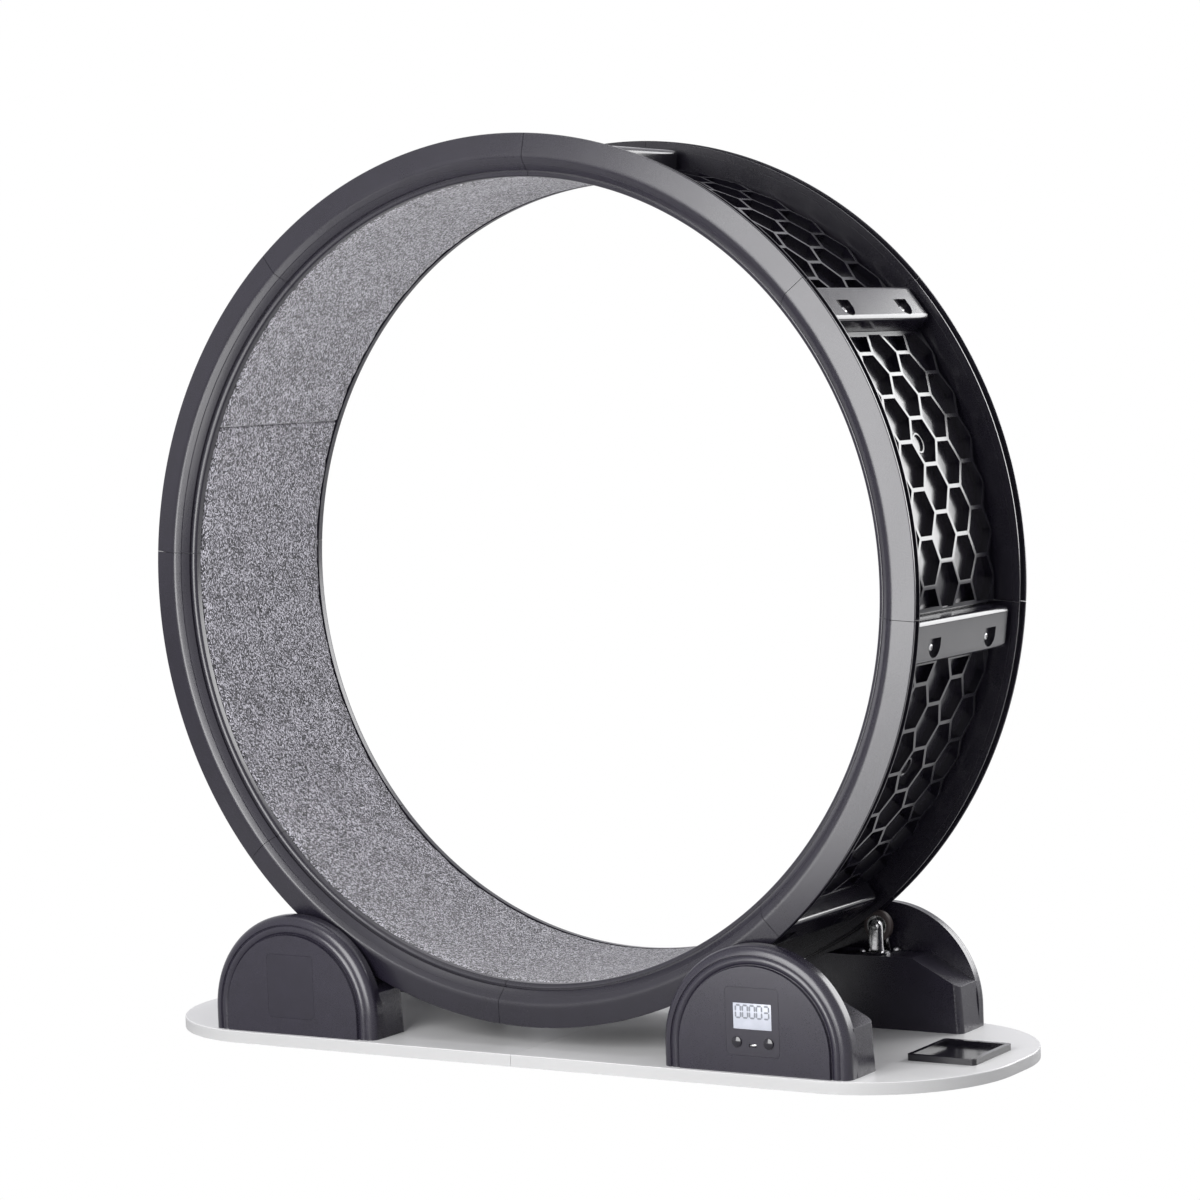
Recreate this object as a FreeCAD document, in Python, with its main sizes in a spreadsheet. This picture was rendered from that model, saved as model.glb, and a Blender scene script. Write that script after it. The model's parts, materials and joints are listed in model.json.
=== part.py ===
"""Cat exercise wheel: eight moulded tread panels with rim covers run on four fixed rollers.

X runs along the base board, the wheel turns about an axle line parallel to Y, Z is up, and the
origin is the middle of the board's underside. Lengths are millimetres and angles are degrees.
"""
import FreeCAD, Part
import math
import os

import Sketcher
from FreeCAD import Placement, Rotation, Vector

DIMENSIONS = (
    # name, value, what it is
    ("sector_count", 8, "tread panels round the wheel"),
    ("seam_angle", -4.4, "first panel seam, from +X towards +Z"),
    ("seam_gap_angle", 0.07, "angle left open at each seam"),
    ("wheel_radius", 500, "outer edge of the rim"),
    ("track_depth", 5.5, "depth of the groove that the rollers run in"),
    ("track_width", 11.5, "width of that groove"),
    ("rim_lip", 2.5, "outer lip of the groove"),
    ("rim_inner_lip", 1.5, "inner lip of the groove"),
    ("rim_inner_drop", 1.5, "how much lower the inner lip stands"),
    ("rim_width", 12.5, "rim beyond the tread's edge"),
    ("rim_ridge", 4, "ridge of the rim over its outer edge"),
    ("rim_band", 26, "sloping band between the rim's outer edge and its ridge"),
    ("rim_step", 4.8, "where the rim turns in, over the tread"),
    ("rim_step_drop", 5.4, "that turn behind the ridge"),
    ("rim_overhang", 6, "rim's inner edge below the tread"),
    ("rim_lip_width", 5.8, "band that shows beside the carpet"),
    ("tread_inset", 42, "inside of the tread below the rim's outer edge"),
    ("tread_wall", 3, "tread wall"),
    ("tread_margin", 8.7, "tread beyond the carpet's edge"),
    ("fit_gap", 0.3, "assembly gap between mouldings"),
    ("rib_height", 9.5, "honeycomb rib height over the tread"),
    ("rib_wall", 4.5, "honeycomb rib thickness"),
    ("cell_rows", 6, "cells along one panel"),
    ("cell_flat", 29, "straight rib between two cells of a column"),
    ("rib_margin", 10, "tread beyond the ribs"),
    ("bar_height", 30, "crossbar over the tread"),
    ("bar_inset", 0.8892, "crossbar from the seam"),
    ("bar_margin", 16.5, "tread beyond the crossbar's end"),
    ("bar_draft", 4, "draft of the crossbar sides"),
    ("bar_rounding", 6, "rounding of the crossbar's long edges"),
    ("well_inset", 42.5, "middle of a screw well from the crossbar's end"),
    ("well_radius", 14.5, "half width of a screw well"),
    ("well_straight", 7, "straight part of a well"),
    ("well_offset", 3.3, "flat side of a well from the middle of the bar"),
    ("well_depth", 5.5, "depth of a well"),
    ("tongue_reach", 42, "tongue under the next panel's crossbar"),
    ("tongue_wall", 4.8, "tongue thickness"),
    ("tongue_inset", 13, "crossbar beyond the tongue"),
    ("carpet_thickness", 6.7, "carpet pile and backing"),
    ("carpet_width", 237.6, "carpet width"),
    ("upper_joint_angle", 156.3, "tight joint of the carpet halves"),
    ("lower_joint_angle", 338.5, "open joint of the carpet halves"),
    ("upper_gap_angle", 0.1, "angle open at the upper joint"),
    ("lower_gap_angle", 1.4, "angle open at the lower joint"),
    ("magnet_drop", 12.5, "middle of the magnet below the floor of the groove"),
    ("magnet_radius", 6, "magnet that the counter senses"),
    ("magnet_height", 4, "magnet thickness"),
    ("board_length", 1080, "base board"),
    ("board_margin", 7, "base board beyond the stands"),
    ("board_corner", 160, "corner radius of the base board"),
    ("board_thickness", 13.5, "base board"),
    ("board_edge", 1.2, "eased upper edge of the board"),
    ("board_joint", 0.3, "gap between the two board halves"),
    ("ground_clearance", 24, "wheel above the board"),
    ("plate_length", 260, "joining plate under the board"),
    ("plate_width", 120, "joining plate under the board"),
    ("plate_thickness", 2, "joining plate under the board"),
    ("roller_angle", 36.7414, "roller from the lowest point of the wheel"),
    ("stand_radius", 114.5, "outside of the round stand cover"),
    ("stand_leg", 24.4, "straight foot below the round part"),
    ("cover_gap", 6.5, "air between the rim's ridge and the round cover"),
    ("cover_depth", 21.5, "round cover from front to back"),
    ("block_length", 46.5, "roller block from the back of the round cover"),
    ("stand_wall", 3, "stand wall"),
    ("cover_wall", 6, "front wall of the cover"),
    ("plateau_radius", 92, "flat middle of the cover"),
    ("plateau_step", 2.6, "step round the flat middle"),
    ("bead_rise", 1.6, "bead between the step and the rim of the cover"),
    ("cover_slope", 12, "sloping edge of the cover"),
    ("block_foot", 115, "half width of the roller block at the board"),
    ("block_shoulder", 111.7, "half width at the shoulder"),
    ("block_shoulder_drop", 30, "shoulder below the flat top"),
    ("block_flat", 54.5, "half width of the flat top"),
    ("block_corner", 8, "rounding of the block's upright corners"),
    ("panel_width", 65, "meter panel and blank covers"),
    ("panel_height", 74, "meter panel and blank covers"),
    ("panel_corner", 4, "corner radius of the panels"),
    ("panel_centre", 56.4, "middle of the panels over the board"),
    ("panel_plate", 2.5, "panel thickness"),
    ("panel_gap", 0.2, "gap round the panels"),
    ("panel_ledge", 4, "ledge that the panels rest on"),
    ("screen_width", 47, "display window"),
    ("screen_height", 28.5, "display window"),
    ("screen_centre", 62.2, "middle of the display over the board"),
    ("screen_sink", 0.6, "display below the panel face"),
    ("button_spacing", 39, "distance between the buttons"),
    ("button_centre", 33.9, "buttons over the board"),
    ("button_radius", 5.9, "button cap"),
    ("button_dome", 1.2, "rise of the button's dome"),
    ("button_stand", 1.4, "button edge over the panel face"),
    ("button_collar", 1.2, "collar that holds the button in"),
    ("button_gap", 0.15, "gap round the button"),
    ("button_travel", 1.2, "button travel"),
    ("socket_centre", 30.7, "charging socket over the board"),
    ("socket_width", 9, "charging socket"),
    ("socket_height", 3.2, "charging socket"),
    ("switch_height", 0.95, "switch between a pressed button and the circuit board"),
    ("circuit_thickness", 1.6, "circuit board"),
    ("battery_radius", 12, "coin cell"),
    ("battery_thickness", 5, "coin cell"),
    ("sensor_offset", 54, "sensor from the stand's middle"),
    ("sensor_height", 98, "sensor over the board"),
    ("sensor_size", 12, "sensor housing"),
    ("sensor_depth", 5, "sensor housing"),
    ("roller_radius", 17.5, "tyre radius"),
    ("roller_width", 10.3, "tyre width"),
    ("roller_gap", 0.2, "air between tyre and track"),
    ("tyre_edge", 2, "bevel of the tyre"),
    ("hub_radius", 12, "metal hub"),
    ("hub_boss", 5.5, "boss of the hub"),
    ("axle_radius", 3, "axle pin"),
    ("axle_gap", 0.05, "running clearance on the axle pin"),
    ("axle_end", 2, "axle pin outside the fork"),
    ("fork_gap", 6.6, "fork leg from the roller's middle"),
    ("fork_wall", 2, "fork sheet"),
    ("fork_height", 30.5516, "roller's middle over the underside of the caster plate"),
    ("fork_foot", 11, "half width of a leg at the plate"),
    ("fork_head", 7, "radius of a leg round the axle"),
    ("fork_plate_length", 42, "caster plate"),
    ("fork_plate_width", 34, "caster plate"),
    ("tray_inset", 72, "middle of the tray from the end of the board"),
    ("tray_length", 82, "tray along the board"),
    ("tray_width", 96, "tray across the board"),
    ("tray_corner", 5, "corner radius of the tray"),
    ("tray_rim", 6, "width of the rim"),
    ("tray_height", 7, "rim over the board"),
    ("tray_floor", 2, "floor of the tray"),
)


class Size:
    """A number together with the spreadsheet formula that it comes from."""

    def __init__(self, value, text):
        self.value = value
        self.text = text

    def __add__(self, other):
        return Size(self.value + number(other), "(%s + %s)" % (self.text, formula(other)))

    def __sub__(self, other):
        return Size(self.value - number(other), "(%s - %s)" % (self.text, formula(other)))

    def __mul__(self, other):
        return Size(self.value * number(other), "(%s * %s)" % (self.text, formula(other)))

    def __truediv__(self, other):
        return Size(self.value / number(other), "(%s / %s)" % (self.text, formula(other)))

    def __neg__(self):
        return Size(-self.value, "(0 - %s)" % self.text)


def number(item):
    """Return the plain number of a size or of a number."""
    return item.value if isinstance(item, Size) else float(item)


def formula(item):
    """Return the formula of a size or of a number."""
    return item.text if isinstance(item, Size) else "(%r)" % float(item)


def tangent(angle):
    """Return the tangent of an angle."""
    return Size(math.tan(math.radians(number(angle))), "tan(%s * 1 deg)" % formula(angle))


def sine(angle):
    """Return the sine of an angle."""
    return Size(math.sin(math.radians(number(angle))), "sin(%s * 1 deg)" % formula(angle))


def cosine(angle):
    """Return the cosine of an angle."""
    return Size(math.cos(math.radians(number(angle))), "cos(%s * 1 deg)" % formula(angle))


def root(item):
    """Return the square root of a size."""
    return Size(math.sqrt(number(item)), "sqrt(%s)" % formula(item))


class Sheet:
    """The driving dimensions, kept in a spreadsheet and read by name."""

    def __init__(self, document):
        self.table = document.addObject("Spreadsheet::Sheet", "Dimensions")
        for row, (name, value, note) in enumerate(DIMENSIONS, start=1):
            self.table.set("A%d" % row, note)
            self.table.set("B%d" % row, str(value))
            self.table.setAlias("B%d" % row, name)
        document.recompute()

    def __getattr__(self, name):
        return Size(float(self.table.get(name)), "Dimensions." + name)


doc = FreeCAD.newDocument("cat_exercise_wheel")
size = Sheet(doc)
X_AXIS, Y_AXIS, Z_AXIS = Vector(1, 0, 0), Vector(0, 1, 0), Vector(0, 0, 1)


# ------------------------------------------------------------ sketches and features

def place(item, x=0, y=0, z=0, turns=()):
    """Set an object's place; turns are (axis, angle) pairs, the last one applied first."""
    rotation = Rotation()
    for axis, angle in turns:
        rotation = rotation * Rotation(axis, number(angle))
    item.Placement = Placement(Vector(number(x), number(y), number(z)), rotation)
    for path, value in (("x", x), ("y", y), ("z", z)):
        item.setExpression("Placement.Base." + path, formula(value))
    return item


def datum(body, role):
    """Find an origin plane or axis of a body."""
    return next(item for item in body.Origin.OriginFeatures if item.Role == role)


def new_sketch(body, name, role, distance=0):
    """Attach a sketch to an origin plane, moved off along the plane's normal."""
    sketch = body.newObject("Sketcher::SketchObject", name)
    sketch.AttachmentSupport = (datum(body, role), [""])
    sketch.MapMode = "FlatFace"
    sketch.AttachmentOffset = Placement(Vector(0, 0, number(distance)), Rotation())
    sketch.setExpression("AttachmentOffset.Base.z", formula(distance))
    return sketch


def turned_sketch(body, name, distance, angle):
    """Attach a sketch square to a radius of the wheel, at an angle and a distance from the axis."""
    sketch = new_sketch(body, name, "YZ_Plane")
    sketch.AttachmentOffset = Placement(
        Vector(number(sine(angle) * distance), 0, number(cosine(angle) * distance)),
        Rotation(Y_AXIS, number(angle)))
    sketch.setExpression("AttachmentOffset.Base.x", formula(sine(angle) * distance))
    sketch.setExpression("AttachmentOffset.Base.z", formula(cosine(angle) * distance))
    return sketch


def constrain(sketch, rules):
    """Add constraints given as (kind, places, value) and tie each value to its formula."""
    first = sketch.ConstraintCount
    sketch.addConstraint([
        Sketcher.Constraint(kind, *places) if value is None
        else Sketcher.Constraint(kind, *places, number(value)) for kind, places, value in rules])
    for index, (_, _, value) in enumerate(rules, start=first):
        if isinstance(value, Size):
            sketch.setExpression("Constraints[%d]" % index, value.text)


def arc_edge(start, end, radius, side):
    """Make an arc of less than a half circle; side is 1 where its centre lies left of the way."""
    chord = end - start
    rise = math.sqrt(max(radius ** 2 - chord.Length ** 2 / 4, 0))
    centre = (start + end) * 0.5 + Vector(-chord.y, chord.x, 0).normalize() * rise * side
    angles = [math.atan2(point.y - centre.y, point.x - centre.x) for point in (start, end)]
    first, last = angles if side > 0 else reversed(angles)
    return Part.ArcOfCircle(Part.Circle(centre, Z_AXIS, radius), first, last)


def outline(sketch, corners):
    """Add one closed outline.

    A corner is (across, up) where a straight edge follows it and (across, up, radius, side) where
    an arc does.
    """
    points = [Vector(number(corner[0]), number(corner[1]), 0) for corner in corners]
    rules = []
    ends = []
    for corner, start, end in zip(corners, points, points[1:] + points[:1]):
        curved = len(corner) == 4
        shape = arc_edge(start, end, number(corner[2]), corner[3]) if curved else \
            Part.LineSegment(start, end)
        edge = sketch.addGeometry(shape, False)
        backwards = curved and corner[3] < 0
        ends.append((edge, 2, 1) if backwards else (edge, 1, 2))
        if curved:
            rules.append(("Radius", (edge,), corner[2]))
    for corner, here, following in zip(corners, ends, ends[1:] + ends[:1]):
        rules.append(("Coincident", (here[0], here[2], following[0], following[1]), None))
        rules.append(("DistanceX", (here[0], here[1]), corner[0]))
        rules.append(("DistanceY", (here[0], here[1]), corner[1]))
    constrain(sketch, rules)


def disc(sketch, across, up, radius):
    """Add one circle."""
    circle = Part.Circle(Vector(number(across), number(up), 0), Z_AXIS, number(radius))
    edge = sketch.addGeometry(circle, False)
    constrain(sketch, [("Radius", (edge,), radius), ("DistanceX", (edge, 3), across),
                       ("DistanceY", (edge, 3), up)])


def rectangle(sketch, left, right, low, high):
    """Add a rectangle between four limits."""
    outline(sketch, ((left, low), (right, low), (right, high), (left, high)))


def round_rectangle(sketch, half_width, low, high, corner):
    """Add a rectangle with rounded corners, centred across."""
    left, right = -half_width, half_width
    outline(sketch, (
        (left + corner, low), (right - corner, low, corner, 1),
        (right, low + corner), (right, high - corner, corner, 1),
        (right - corner, high), (left + corner, high, corner, 1),
        (left, high - corner), (left, low + corner, corner, 1)))


def solid_feature(body, kind, name, sketch, length, flip=False, draft=None, symmetric=False):
    """Add a pad or a pocket that follows its sketch."""
    item = body.newObject("PartDesign::" + kind, name)
    item.Profile = sketch
    item.Length = number(length)
    item.setExpression("Length", formula(length))
    if draft is not None:
        item.TaperAngle = number(draft)
        item.setExpression("TaperAngle", formula(draft))
    if symmetric:
        item.SideType = "Symmetric"
    item.Reversed = flip
    body.Tip = item
    return item


def turned_feature(body, kind, name, sketch, angle, flip=False, axis="V_Axis"):
    """Add a revolution or a groove about an axis of its sketch."""
    item = body.newObject("PartDesign::" + kind, name)
    item.Profile = sketch
    item.ReferenceAxis = (sketch, [axis])
    item.Angle = number(angle)
    item.setExpression("Angle", formula(angle))
    item.Reversed = flip
    body.Tip = item
    return item


def repeat_round(body, name, source, spacing, count):
    """Repeat a feature round the body's Z axis."""
    item = body.newObject("PartDesign::PolarPattern", name)
    item.Originals = [source]
    item.Axis = (datum(body, "Z_Axis"), [""])
    item.Mode = "Spacing"
    item.Offset = number(spacing)
    item.setExpression("Offset", formula(spacing))
    item.Occurrences = int(number(count))
    item.setExpression("Occurrences", formula(count))
    body.Tip = item
    return item


def eased(body, kind, name, base, picks, amount):
    """Round or bevel those edges of a feature that a test picks."""
    doc.recompute()
    chosen = ["Edge%d" % index for index, edge in enumerate(base.Shape.Edges, start=1)
              if picks([edge.valueAt(edge.FirstParameter), edge.valueAt(edge.LastParameter)])]
    item = body.newObject("PartDesign::" + kind, name)
    item.Base = (base, chosen)
    item.setExpression("Radius" if kind == "Fillet" else "Size", formula(amount))
    body.Tip = item
    return item


def new_body(name):
    """Start a sub-part."""
    return doc.addObject("PartDesign::Body", name)


def copy_of(source, name):
    """Start a sub-part from the same moulding."""
    body = new_body(name)
    moulding = body.newObject("PartDesign::FeatureBase", name + "_moulding")
    moulding.BaseFeature = source
    body.Tip = moulding
    return body


# ------------------------------------------------------------ sizes worked out from the sheet

sector_angle = Size(360, "360") / size.sector_count
row_angle = sector_angle / (size.cell_rows + 1)
panel_angle = sector_angle - size.seam_gap_angle
tread_inside = size.wheel_radius - size.tread_inset
tread_outside = tread_inside + size.tread_wall
track_radius = size.wheel_radius - size.track_depth
magnet_orbit = track_radius - size.magnet_drop
rib_radius = tread_outside + size.rib_height
bar_angle = row_angle * (size.cell_rows + 0.5)
bar_top = tread_outside + size.bar_height
seam_offset = tread_outside * tangent(row_angle / 2)
bar_foot = seam_offset - size.bar_inset
tread_edge = size.carpet_width / 2 + size.tread_margin
rim_face = tread_edge + size.rim_width
rim_crest = rim_face + size.rim_ridge
column_pitch = (tread_edge - size.rib_margin + size.cell_flat / 2) / 3
half_bar = tread_edge - size.bar_margin
slot_low = tread_outside + size.fit_gap / 2
half_row = rib_radius * tangent(row_angle / 2)
half_block = column_pitch * 3 - size.cell_flat / 2
lip_inside = size.carpet_width / 2 + size.fit_gap
flange_inside = rim_face - size.rim_lip - size.track_width - size.rim_inner_lip
track_middle = rim_face - size.rim_lip - size.track_width / 2
axle_height = size.board_thickness + size.ground_clearance + size.wheel_radius
cover_back = rim_crest + size.cover_gap
stand_face = cover_back + size.cover_depth
stand_inner = cover_back - size.block_length
roller_distance = track_radius + size.roller_gap + size.roller_radius
stand_x = roller_distance * sine(size.roller_angle)
roller_height = axle_height - roller_distance * cosine(size.roller_angle)
block_top = roller_height - size.fork_height
block_height = block_top - size.board_thickness
circuit_depth = size.panel_plate + size.button_gap + size.button_collar + size.button_travel \
    + size.switch_height


def place_on_wheel(body, angle, outward=1):
    """Put a piece that is drawn round its own Z axis on the wheel's axle line."""
    turns = [(X_AXIS, 90), (Z_AXIS, angle)]
    if outward < 0:
        turns.append((X_AXIS, 180))
    return place(body, 0, 0, axle_height, turns)


# ------------------------------------------------------------ tread panels

def cell_sizes():
    """Half the height of a cell, half the length of its sides, its tip and the slope to the tip."""
    slope = (column_pitch - size.cell_flat) / half_row
    tip = column_pitch - size.cell_flat / 2 - size.rib_wall / 2 * root(slope * slope + 1)
    inside = half_row - size.rib_wall / 2
    return inside, tip - slope * inside, tip, slope


def full_cell(sketch, column):
    """Draw a six-sided cell."""
    row, side, tip, _ = cell_sizes()
    middle = column_pitch * column
    outline(sketch, ((-row, middle - side), (0, middle - tip), (row, middle - side),
                     (row, middle + side), (0, middle + tip), (-row, middle + side)))


def half_cell(sketch, column, way):
    """Draw the half cell beside the panel's end rib."""
    row, side, tip, slope = cell_sizes()
    middle = column_pitch * column
    start = size.rib_wall
    near = tip - slope * start
    outline(sketch, ((start * way, middle - near), (row * way, middle - side),
                     (row * way, middle + side), (start * way, middle + near)))


def edge_notch(sketch, way):
    """Draw the notch that leaves the zigzag edge beside the outer cells."""
    row, _, tip, slope = cell_sizes()
    inner = (column_pitch * 3 - tip) * way
    outer = (half_block + 1) * way
    half = (half_block + 1 - column_pitch * 3 + tip) / slope
    outline(sketch, ((0, inner), (half, outer), (-half, outer)))


def tread_and_ribs(body):
    """Revolve the tread and add the block that the cells are cut from, flat from rib to rib."""
    tread = new_sketch(body, "tread_section", "XZ_Plane")
    rectangle(tread, tread_inside, tread_outside, -tread_edge, tread_edge)
    turned_feature(body, "Revolution", "tread", tread, panel_angle)
    block = new_sketch(body, "rib_section", "XY_Plane")
    steps = int(number(size.cell_rows)) * 2
    angles = [row_angle / 2 * step for step in range(steps)] + [row_angle / 2 * steps + 0.2]
    outer = [(rib_radius * cosine(angle), rib_radius * sine(angle)) for angle in angles]
    inner = [((tread_outside - 1) * cosine(angle), (tread_outside - 1) * sine(angle)) for angle in angles]
    outline(block, outer + inner[::-1])
    solid_feature(body, "Pad", "rib_block", block, half_block * 2, symmetric=True)


def honeycomb(body):
    """Cut the whole cells, the half cells at both ends and the notches of the zigzag edge."""
    height = rib_radius + 3
    depth = height - tread_outside
    even = turned_sketch(body, "even_cells", height, row_angle / 2)
    for column in (-2, 0, 2):
        full_cell(even, column)
    cut = solid_feature(body, "Pocket", "even_cut", even, depth)
    repeat_round(body, "even_rows", cut, row_angle, size.cell_rows)
    odd = turned_sketch(body, "odd_cells", height, row_angle)
    for column in (-1, 1):
        full_cell(odd, column)
        edge_notch(odd, column)
    cut = solid_feature(body, "Pocket", "odd_cut", odd, depth)
    repeat_round(body, "odd_rows", cut, row_angle, size.cell_rows - 1)
    for name, way, angle in (("first", 1, row_angle * 0), ("last", -1, row_angle * size.cell_rows)):
        ends = turned_sketch(body, name + "_cells", height, angle)
        for column in (-1, 1):
            half_cell(ends, column, way)
        solid_feature(body, "Pocket", name + "_cut", ends, depth)


def crossbar(body):
    """Add the crossbar with its screw wells, the hollow inside and the slot for a tongue."""
    start = tread_outside - 0.7
    crown = bar_foot - (bar_top - start) * tangent(size.bar_draft)
    turn = size.bar_rounding * tangent(Size(45, "45") - size.bar_draft / 2)
    shoulder = bar_top - turn * cosine(size.bar_draft)
    side = crown + turn * sine(size.bar_draft)
    section = new_sketch(body, "bar_section", "XY_Plane")
    section.AttachmentOffset = Placement(Vector(0, 0, 0), Rotation(Z_AXIS, number(bar_angle)))
    outline(section, (
        (start, -bar_foot), (shoulder, -side, size.bar_rounding, 1), (bar_top, turn - crown),
        (bar_top, crown - turn, size.bar_rounding, 1), (shoulder, side), (start, bar_foot)))
    solid_feature(body, "Pad", "bar", section, half_bar * 2, symmetric=True)
    wells = turned_sketch(body, "wells", bar_top + 1, bar_angle)
    flat = size.well_offset
    arc = flat - size.well_straight
    for way in (-1, 1):
        middle = (half_bar - size.well_inset) * way
        outline(wells, (
            (flat, middle - size.well_radius), (flat, middle + size.well_radius),
            (arc, middle + size.well_radius, size.well_radius, 1),
            (arc - size.well_radius, middle, size.well_radius, 1),
            (arc, middle - size.well_radius)))
    solid_feature(body, "Pocket", "well_cut", wells, size.well_depth + 1)
    core = turned_sketch(body, "core", tread_inside - 5, bar_angle)
    half_core = half_bar - size.well_inset - size.well_radius - size.tread_wall
    half_width = bar_foot - size.bar_rounding
    rectangle(core, -half_width, half_width, -half_core, half_core)
    solid_feature(body, "Pocket", "core_cut", core, bar_top - tread_inside + 5 - size.tread_wall,
                  flip=True)
    slot_high = slot_low + size.tongue_wall + size.fit_gap * 2
    slot = turned_sketch(body, "slot", slot_high, bar_angle)
    half = half_bar - size.tongue_inset + 1
    rectangle(slot, seam_offset - size.tongue_reach - 1, seam_offset + 1, -half, half)
    solid_feature(body, "Pocket", "slot_cut", slot, slot_high - slot_low)


def tongue(body):
    """Add the tongue that lies in the slot of the panel before."""
    plate = turned_sketch(body, "tongue_plate", slot_low + size.fit_gap, bar_angle - sector_angle)
    half = half_bar - size.tongue_inset
    rectangle(plate, seam_offset - size.tongue_reach, seam_offset + 3, -half, half)
    solid_feature(body, "Pad", "tongue", plate, size.tongue_wall)


def make_panels():
    """Make the tread panels, each from the same moulding."""
    first = new_body("deck_panel_1")
    tread_and_ribs(first)
    crossbar(first)
    honeycomb(first)
    tongue(first)
    panels = [first]
    for index in range(2, int(number(size.sector_count)) + 1):
        panels.append(copy_of(first, "deck_panel_%d" % index))
    for index, panel in enumerate(panels):
        place_on_wheel(panel, size.seam_angle + size.seam_gap_angle / 2 + sector_angle * index)
    return panels


# ------------------------------------------------------------ rim covers, magnet and carpet

def rim_moulding(name):
    """Revolve one rim cover: roller track, sloping face, ridge and the lip that holds the tread."""
    body = new_body(name)
    section = new_sketch(body, name + "_section", "XZ_Plane")
    lip_end = tread_edge - size.tread_wall
    outline(section, (
        (size.wheel_radius, rim_face - size.rim_lip),
        (size.wheel_radius, rim_face),
        (size.wheel_radius - size.rim_band, rim_crest),
        (tread_outside + size.rim_step, rim_crest - size.rim_step_drop),
        (tread_inside - size.rim_overhang, lip_inside + size.rim_lip_width),
        (tread_inside - size.rim_overhang, lip_inside),
        (tread_inside - size.fit_gap, lip_inside),
        (tread_inside - size.fit_gap, tread_edge + size.fit_gap),
        (tread_outside + size.fit_gap, tread_edge + size.fit_gap),
        (tread_outside + size.fit_gap, flange_inside),
        (size.wheel_radius - size.rim_inner_drop, flange_inside),
        (size.wheel_radius - size.rim_inner_drop, flange_inside + size.rim_inner_lip),
        (track_radius, flange_inside + size.rim_inner_lip),
        (track_radius, rim_face - size.rim_lip)))
    turned_feature(body, "Revolution", name + "_ring", section, panel_angle)
    return body


def make_rims():
    """Make the rim covers; the last front one has the seat of the magnet."""
    count = int(number(size.sector_count))
    first = rim_moulding("front_rim_1")
    front = [first] + [copy_of(first, "front_rim_%d" % index) for index in range(2, count + 1)]
    rear = [copy_of(first, "rear_rim_%d" % index) for index in range(1, count + 1)]
    start = size.seam_angle + size.seam_gap_angle / 2
    for index in range(count):
        place_on_wheel(front[index], start + sector_angle * index)
        place_on_wheel(rear[index], start + sector_angle * index + panel_angle, outward=-1)
    holder = front[-1]
    seat = new_sketch(holder, "magnet_seat", "XY_Plane", flange_inside - 1)
    disc(seat, magnet_orbit * cosine(sector_angle / 2), magnet_orbit * sine(sector_angle / 2),
         size.magnet_radius + size.fit_gap / 2)
    solid_feature(holder, "Pocket", "magnet_seat_cut", seat, size.magnet_height + 1, flip=True)
    magnet = new_body("wheel_magnet")
    round_face = new_sketch(magnet, "magnet_disc", "XY_Plane", flange_inside)
    disc(round_face, magnet_orbit * cosine(sector_angle / 2),
         magnet_orbit * sine(sector_angle / 2), size.magnet_radius)
    solid_feature(magnet, "Pad", "magnet_body", round_face, size.magnet_height)
    place_on_wheel(magnet, start + sector_angle * (count - 1))
    return front + rear + [magnet]


def make_carpet():
    """Make the two carpet halves that lie loose inside the tread."""
    upper = size.upper_joint_angle
    lower = size.lower_joint_angle
    half_gap = (size.upper_gap_angle + size.lower_gap_angle) / 2
    outside = tread_inside - size.fit_gap
    spans = (
        ("carpet_half_1", lower - 360 + size.lower_gap_angle / 2, upper - lower + 360 - half_gap),
        ("carpet_half_2", upper + size.upper_gap_angle / 2, lower - upper - half_gap))
    halves = []
    for name, start, angle in spans:
        body = new_body(name)
        section = new_sketch(body, name + "_section", "XZ_Plane")
        rectangle(section, outside - size.carpet_thickness, outside, -size.carpet_width / 2,
                  size.carpet_width / 2)
        turned_feature(body, "Revolution", name + "_strip", section, angle)
        halves.append(place_on_wheel(body, start))
    return halves


# ------------------------------------------------------------ rollers and casters

def make_rollers():
    """Make the four fixed casters: hub, tyre and fork, and the group of axle pins."""
    made = []
    pins = []
    first = {}
    corners = ((1, -1), (-1, -1), (1, 1), (-1, 1))
    for index, (along, across) in enumerate(corners, start=1):
        for kind, make in (("roller_hub", hub), ("roller_tyre", tyre), ("caster_fork", fork)):
            name = "%s_%d" % (kind, index)
            body = copy_of(first[kind], name) if kind in first else make(name)
            first.setdefault(kind, body)
            height = block_top if kind == "caster_fork" else roller_height
            turns = () if kind == "caster_fork" else ((X_AXIS, 90),)
            made.append(place(body, stand_x * along, track_middle * across, height, turns))
        pin = doc.addObject("Part::Cylinder", "axle_pin_%d" % index)
        length = (size.fork_gap + size.fork_wall + size.axle_end) * 2
        pin.setExpression("Radius", formula(size.axle_radius))
        pin.setExpression("Height", formula(length))
        pins.append(place(pin, stand_x * along, track_middle * across + length / 2, roller_height,
                          ((X_AXIS, 90),)))
    group = doc.addObject("Part::Compound", "axle_pins")
    group.Links = pins
    return made + [group]


def hub(name):
    """Revolve the metal hub with its boss and bore."""
    body = new_body(name)
    half, boss = size.roller_width / 2 - 0.4, size.fork_gap - size.fit_gap
    bore = size.axle_radius + size.axle_gap
    section = new_sketch(body, name + "_section", "XZ_Plane")
    outline(section, ((bore, -boss), (size.hub_boss, -boss), (size.hub_radius, -half),
                      (size.hub_radius, half), (size.hub_boss, boss), (bore, boss)))
    turned_feature(body, "Revolution", name + "_turning", section, 360)
    return body


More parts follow.
